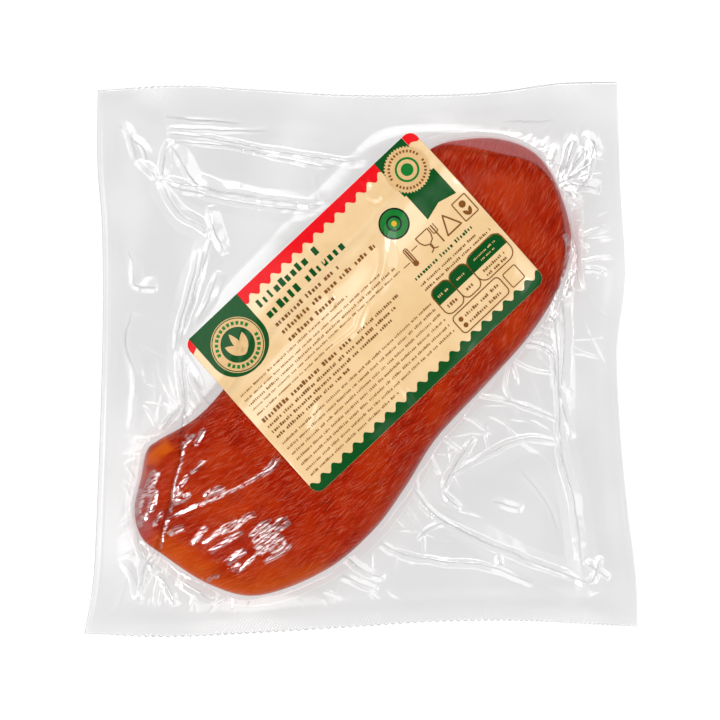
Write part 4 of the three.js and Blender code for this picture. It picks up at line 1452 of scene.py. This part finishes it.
    def stroke(self, path: list, width: float) -> tuple:
        """A line of even width carried along a path in short steps, turned half way at each bend."""
        knots = np.asarray(path, float)
        lengths = np.linalg.norm(np.diff(knots, axis=0), axis=1)
        counts = np.maximum(1, np.ceil(lengths / self.stroke_step).astype(int))
        run = np.vstack([
            *(a + (b - a) * (np.arange(n) / n)[:, None] for a, b, n in zip(knots, knots[1:], counts)),
            knots[-1:]])
        way = np.gradient(run, axis=0)
        if np.allclose(run[0], run[-1]):
            way[0] = way[-1] = run[1] - run[-2]
        normal = np.stack([-way[:, 1], way[:, 0]], axis=-1) / np.linalg.norm(way, axis=1)[:, None]
        sides = np.stack([run - normal * width / 2, run + normal * width / 2])
        return self.patch(sides[..., 0], sides[..., 1])

    def box_line(self, left: float, right: float, low: float, high: float, radius: float,
                 width: float) -> tuple:
        """The outline of a box with rounded corners."""
        turns = [(right - radius, high - radius, 0), (left + radius, high - radius, 90),
                 (left + radius, low + radius, 180), (right - radius, low + radius, 270)]
        arcs = [
            np.stack([x + radius * np.cos(a), y + radius * np.sin(a)], axis=-1)
            for x, y, first in turns for a in [np.radians(first + np.linspace(0, 90, 7))]]
        path = np.vstack(arcs)
        return self.stroke(np.vstack([path, path[:1]]), width)

    def blocks(self, line: Line, seed: int) -> tuple:
        """A printed line as small upright blocks in groups, most of them three quarters as high.

        The widths, the heights and the gaps between the groups are seeded.
        """
        draw = np.random.default_rng(seed)
        wide = self.block_share * line.height
        pitch = wide + max(self.least_gap, self.gap_share * line.height)
        count = int((line.end - line.start) / pitch)
        keep = np.ones(count, bool)
        place = 0
        while place < count:
            place += int(draw.integers(*self.group_range))
            if place < count:
                keep[place] = False
            place += 1
        left = line.start + pitch * np.arange(count)[keep]
        width = wide * draw.uniform(*self.block_widths, len(left))
        high = line.height * np.where(draw.uniform(size=len(left)) < self.tall_share, 1.0, self.low_block)
        rise = np.linspace(0, 1, 1 + math.ceil(line.height / self.mesh_step))
        s = np.stack([left, left + width], axis=-1)[:, None] + 0 * rise[None, :, None]
        t = line.middle - line.height / 2 + (high[:, None] * rise)[..., None] + 0 * s
        number = np.arange(s.size).reshape(s.shape)
        faces = np.stack(
            [number[:, :-1, 0], number[:, :-1, 1], number[:, 1:, 1], number[:, 1:, 0]], axis=-1)
        return s.ravel(), t.ravel(), faces.reshape(-1, 4)

    def petal(self, centre: tuple, angle: float, length: float, width: float) -> tuple:
        """A leaf shape that starts at a centre: a spindle as wide as a sine of the way along it."""
        columns, rows = self.petal_grid
        a = np.linspace(0.001, 0.999, columns)[None]
        across = np.linspace(-0.5, 0.5, rows)[:, None] * width * np.sin(math.pi * a) ** self.petal_curve
        along = np.repeat(a * length, rows, axis=0)
        turn = math.radians(angle)
        return self.patch(
            centre[0] + along * math.cos(turn) - across * math.sin(turn),
            centre[1] + along * math.sin(turn) + across * math.cos(turn))

    def fields(self) -> dict[Ink, list]:
        """The printed colour fields and simple figures, by ink."""
        far, near = self.far_edge - 0.1, -self.form.label_width / 2
        tooth = lambda s: 0.5 + 0.5 * np.cos(2 * math.pi * s / self.scallop)
        end = lambda s: np.maximum(0, np.abs(s) - (self.form.label_length / 2 - self.corner))
        bow = lambda s: self.corner - np.sqrt(np.maximum(0, self.corner**2 - end(s) ** 2))
        edge = lambda s: far - bow(s)
        flat = lambda value: lambda s: np.full(np.shape(s), float(value))
        arch = lambda level, rise, middle, reach: lambda s: (
            level + rise * np.sqrt(clamp01(1 - ((s - middle) / reach) ** 4)))
        tongue = lambda t: 11.9 * np.sqrt(clamp01(1 - clamp01((23.0 - t) / 11.2) ** 2.2))
        ex, ey = self.emblem
        sx, sy = self.stamp
        bx, by = self.badge
        half = self.form.label_length / 2 - 0.05
        shapes: dict[Ink, list] = {ink: [] for ink in Ink}
        shapes[Ink.RED] += [
            self.strip(-30.2, 38.2, lambda s: 30.9 + 2.2 * tooth(s), flat(far)),
            self.strip(51.9, half, lambda s: np.minimum(31.6 + 1.2 * tooth(s), edge(s)), edge),
            self.strip(-half, -53.9, lambda s: np.minimum(31.2 + 0.4 * (s + half), edge(s)), edge),
        ]
        shapes[Ink.GREEN] += [
            self.strip(-half, half, lambda s: near + 0.05 + bow(s),
                       lambda s: np.maximum(-33.7 + 2.1 * tooth(s + 2.6), near + 0.1 + bow(s))),
            self.upright(11.9, far, lambda t: ex - tongue(t), lambda t: ex + tongue(t)),
            self.upright(20.0, far, flat(38.2), flat(51.8)),
            self.strip(39.0, 53.0, lambda s: 8.3 + 1.9 * (1 - np.abs(s - 46) / 7.0), flat(20.5)),
            self.strip(21.6, 30.0, flat(-17.1), arch(-13.0, 1.7, 25.8, 4.3)),
            self.strip(30.2, 38.4, flat(-17.1), arch(-13.0, 1.7, 34.3, 4.2)),
            self.strip(38.6, 54.7, flat(-17.1), arch(-13.2, 1.8, 46.65, 8.2)),
        ]
        shapes[Ink.CREAM] += [
            self.ring((ex, ey), 9.7, 10.0), self.ring((ex, ey), 6.4, 9.35),
            self.petal((ex, ey - 4.4), 58, 8.0, 3.2), self.petal((ex, ey - 4.4), 122, 8.0, 3.2),
            self.petal((ex, ey - 4.4), 90, 9.4, 2.6),
            self.ring((sx, sy), 0.05, 8.3, teeth=44, tooth=0.32),
        ]
        shapes[Ink.DARK] += [self.disc((bx, by), 5.7)]
        shapes[Ink.LIME] += [
            self.ring((bx, by), 2.9, 5.1), self.disc((bx, by), 2.2),
            self.ring((sx, sy), 3.7, 4.5), self.disc((sx, sy), 2.3),
            *(self.ring((ex, ey), 7.2, 8.5, a, a + 8) for a in range(20, 165, 13)),
            *(self.ring((ex, ey), 7.2, 8.5, a, a + 8) for a in range(200, 345, 13)),
        ]
        shapes[Ink.YELLOW] += [self.disc((bx, by), 1.0)]
        shapes[Ink.BROWN] += [
            *(self.ring((sx, sy), 6.2, 7.2, a, a + 6) for a in range(12, 172, 11)),
            *(self.ring((sx, sy), 6.2, 7.2, a, a + 6) for a in range(192, 352, 11)),
            self.disc((25.4, -0.2), 1.05), self.upright(0.4, 5.9, flat(25.1), flat(25.7)),
            self.stroke(
                [(24.6, 0.4), (24.6, 5.8), (25.0, 6.3), (25.8, 6.3), (26.2, 5.8), (26.2, 0.4)], 0.35),
            *(self.strip(s, s + 2.9, flat(t), flat(t + 0.3)) for s, t in ((20.9, 1.3), (27.0, 4.0))),
            self.stroke(
                [(31.0, 6.3), (31.1, 4.0), (32.0, 2.2), (33.6, 1.4), (33.6, -0.8), (32.2, -1.4)], 0.4),
            self.stroke([(31.0, 6.3), (36.6, 6.3), (36.5, 4.0), (35.6, 2.2), (34.0, 1.4), (34.0, -0.8),
                         (35.4, -1.4)], 0.4),
            self.upright(-1.4, 6.3, flat(38.0), flat(38.5)),
            *(self.upright(3.2, 6.3, flat(s), flat(s + 0.3)) for s in (37.1, 39.1)),
            self.stroke([(37.2, 3.3), (38.2, 2.8), (39.3, 3.3)], 0.35),
            self.stroke([(40.6, -0.9), (43.8, 5.9), (47.2, -0.9), (40.4, -0.9)], 0.55),
            self.box_line(48.8, 55.0, -1.6, 6.3, 0.3, 0.4), self.disc((51.9, 3.9), 1.3),
            self.petal((51.9, -0.9), 60, 3.2, 1.4), self.petal((51.9, -0.9), 120, 3.2, 1.4),
            self.box_line(21.5, 30.1, -22.3, -11.2, 2.6, 0.4),
            self.box_line(30.1, 38.5, -22.3, -11.2, 2.6, 0.4),
            self.box_line(38.5, 54.8, -22.3, -11.2, 3.4, 0.4),
            self.box_line(21.5, 44.0, -30.9, -23.4, 1.6, 0.4),
            self.disc((24.0, -25.9), 0.9), self.disc((24.0, -28.6), 0.9),
            self.box_line(45.6, 51.4, -30.6, -24.6, 0.6, 0.35),
        ]
        return shapes

    def prints(self) -> list[bpy.types.Object]:
        """Makes one piece for each ink: its fields and lines, lifted a little off the paper."""
        shapes = self.fields()
        for seed, line in enumerate(self.text):
            shapes[line.ink].append(self.blocks(line, seed))
        made = []
        for ink, patches in shapes.items():
            name, colour, layer = ink.value
            lift = self.lift + self.thickness + self.ink_step * (layer + 0.6)
            starts = np.cumsum([0] + [len(s) for s, _, _ in patches[:-1]])
            faces = np.vstack([quads + start for (_, _, quads), start in zip(patches, starts)])
            s, t = (np.concatenate([patch[k] for patch in patches]) for k in (0, 1))
            finish = PrintInk(f"{name} label ink", colour)
            surface = Surface(self.place(s, t, lift), faces)
            made.append(surface.piece(f"print_{name}", finish, "label"))
        return made


# ---------------------------------------------------------------- the studio

def direction(bearing: float, off_vertical: float) -> Vector:
    """The unit vector at a bearing from +X and an angle off the vertical, both in degrees."""
    turn, lean = math.radians(bearing), math.radians(off_vertical)
    return Vector((math.sin(lean) * math.cos(turn), math.sin(lean) * math.sin(turn), math.cos(lean)))


@dataclass(frozen=True)
class Softbox:
    """A square lamp: where it stands, seen from the pack, how wide it is and how strong."""

    bearing: float
    off_vertical: float
    side: float
    watts: float


@dataclass(frozen=True)
class Window:
    """A round patch of the sky that only glossy surfaces mirror, fading out from its core."""

    bearing: float
    off_vertical: float
    core: float
    fade: float
    strength: float


@dataclass
class Studio:
    """Opal table, even soft light, and softboxes and windows that the creases pick up."""

    board_side: float = 6.0
    frame_width: float = 260.4
    aim: tuple[float, float, float] = (-0.36, -0.63, 5.0)
    lens: float = 400.0
    sensor: float = 36.0
    fill: float = 1.05
    mirrored_walls: float = 0.9
    mirrored_dark: float = 0.05
    mirrored_floor: float = 0.5
    horizon: tuple[float, float, float] = (-0.05, 0.05, 0.4)
    windows: tuple = (
        Window(90, 43, 10, 30, 0.9), Window(0, 45, 10, 30, 0.6), Window(180, 45, 10, 32, 1.2),
        Window(268, 45, 10, 30, 0.6),
        Window(40, 43, 13, 8, 1.8), Window(100, 42, 14, 9, 2.2), Window(160, 44, 13, 8, 1.8),
        Window(214, 40, 9, 8, 1.8), Window(280, 43, 13, 9, 1.8), Window(340, 44, 12, 8, 1.6),
        Window(100, 40, 4, 3, 6.0), Window(220, 38, 4, 3, 5.0), Window(340, 42, 4, 3, 5.0))
    lamp_distance: float = 1.3
    lamps: tuple = (Softbox(232, 50, 0.35, 4.2), Softbox(75, 42, 0.35, 3.0))

    def build(self) -> None:
        """Makes the board, the surroundings, the lamps and the camera."""
        self.board()
        self.surroundings()
        for number, lamp in enumerate(self.lamps):
            self.lamp(f"softbox_{number}", lamp)
        self.camera()
        scene = bpy.context.scene
        scene.view_settings.view_transform = "Standard"
        scene.view_settings.look = "None"

    def board(self) -> None:
        """Lays the table's top under the pack as part of the stage."""
        half = self.board_side / 2
        mesh = bpy.data.meshes.new("board")
        corners = [(-half, -half, 0), (half, -half, 0), (half, half, 0), (-half, half, 0)]
        mesh.from_pydata(corners, [], [(0, 1, 2, 3)])
        mesh.materials.append(OpalTable("opal white table").material())
        board = bpy.data.objects.new("board", mesh)
        board.visible_glossy = False
        bpy.context.scene.collection.objects.link(board)

    def surroundings(self) -> None:
        """Lights the scene softly from all sides, while glossy surfaces mirror a dark room with windows.

        Flat film mirrors the dark ceiling and stays clear. Its creases mirror the windows, and the
        steepest film the walls near the horizon.
        """
        world = bpy.data.worlds.new("surroundings")
        world.use_nodes = True
        tree = world.node_tree
        tree.nodes.clear()
        way = add_node(tree, "ShaderNodeTexCoord").outputs["Generated"]
        height = add_node(tree, "ShaderNodeSeparateXYZ", Vector=way).outputs["Z"]
        soft = {"interpolation_type": "SMOOTHSTEP"}
        floor_top, wall_foot, wall_top = self.horizon
        walls = add_node(tree, "ShaderNodeMapRange", soft, i0=height, i1=wall_foot, i2=wall_top,
                         i3=self.mirrored_walls, i4=self.mirrored_dark)
        total = add_node(tree, "ShaderNodeMapRange", soft, i0=height, i1=floor_top, i2=wall_foot,
                         i3=self.mirrored_floor, i4=walls.outputs["Result"]).outputs["Result"]
        for window in self.windows:
            facing = add_node(
                tree, "ShaderNodeVectorMath", {"operation": "DOT_PRODUCT"},
                i0=way, i1=direction(window.bearing, window.off_vertical))
            glow = add_node(
                tree, "ShaderNodeMapRange", soft, i0=facing.outputs["Value"],
                i1=math.cos(math.radians(window.core + window.fade)),
                i2=math.cos(math.radians(window.core)), i3=0.0, i4=window.strength)
            total = add_node(tree, "ShaderNodeMath", {"operation": "ADD"}, i0=total,
                             i1=glow.outputs["Result"]).outputs["Value"]
        glossy = add_node(tree, "ShaderNodeLightPath").outputs["Is Glossy Ray"]
        level = add_node(
            tree, "ShaderNodeMix", {"data_type": "FLOAT"}, Factor=glossy, i2=self.fill, i3=total)
        light = add_node(tree, "ShaderNodeBackground", Color=linear("#ffffff"), Strength=level.outputs[0])
        add_node(tree, "ShaderNodeOutputWorld", Surface=light.outputs["Background"])
        bpy.context.scene.world = world

    def lamp(self, name: str, box: Softbox) -> None:
        """Hangs one softbox, turned to face the pack."""
        data = bpy.data.lights.new(name, "AREA")
        data.shape = "SQUARE"
        data.size = box.side
        data.energy = box.watts
        lamp = bpy.data.objects.new(name, data)
        way = direction(box.bearing, box.off_vertical)
        lamp.location = way * self.lamp_distance
        lamp.rotation_euler = way.to_track_quat("Z", "Y").to_euler()
        bpy.context.scene.collection.objects.link(lamp)

    def camera(self) -> None:
        """Looks straight down through a long lens, so that high and low parts keep one scale."""
        data = bpy.data.cameras.new("camera")
        data.lens = self.lens
        data.sensor_width = self.sensor
        data.clip_end = 20.0
        camera = bpy.data.objects.new("camera", data)
        x, y, z = (value * MM for value in self.aim)
        camera.location = (x, y, z + self.frame_width * MM * self.lens / self.sensor)
        bpy.context.scene.collection.objects.link(camera)
        bpy.context.scene.camera = camera


def main() -> None:
    """Builds the studio, the meat, the pouch and the label in order."""
    Studio().build()
    form = PackForm()
    SmokedPork(form).build()
    pouch = Pouch(form)
    pouch.films()
    pouch.band()
    label = PaperLabel(form)
    label.paper()
    label.prints()


if __name__ == "__main__":
    main()
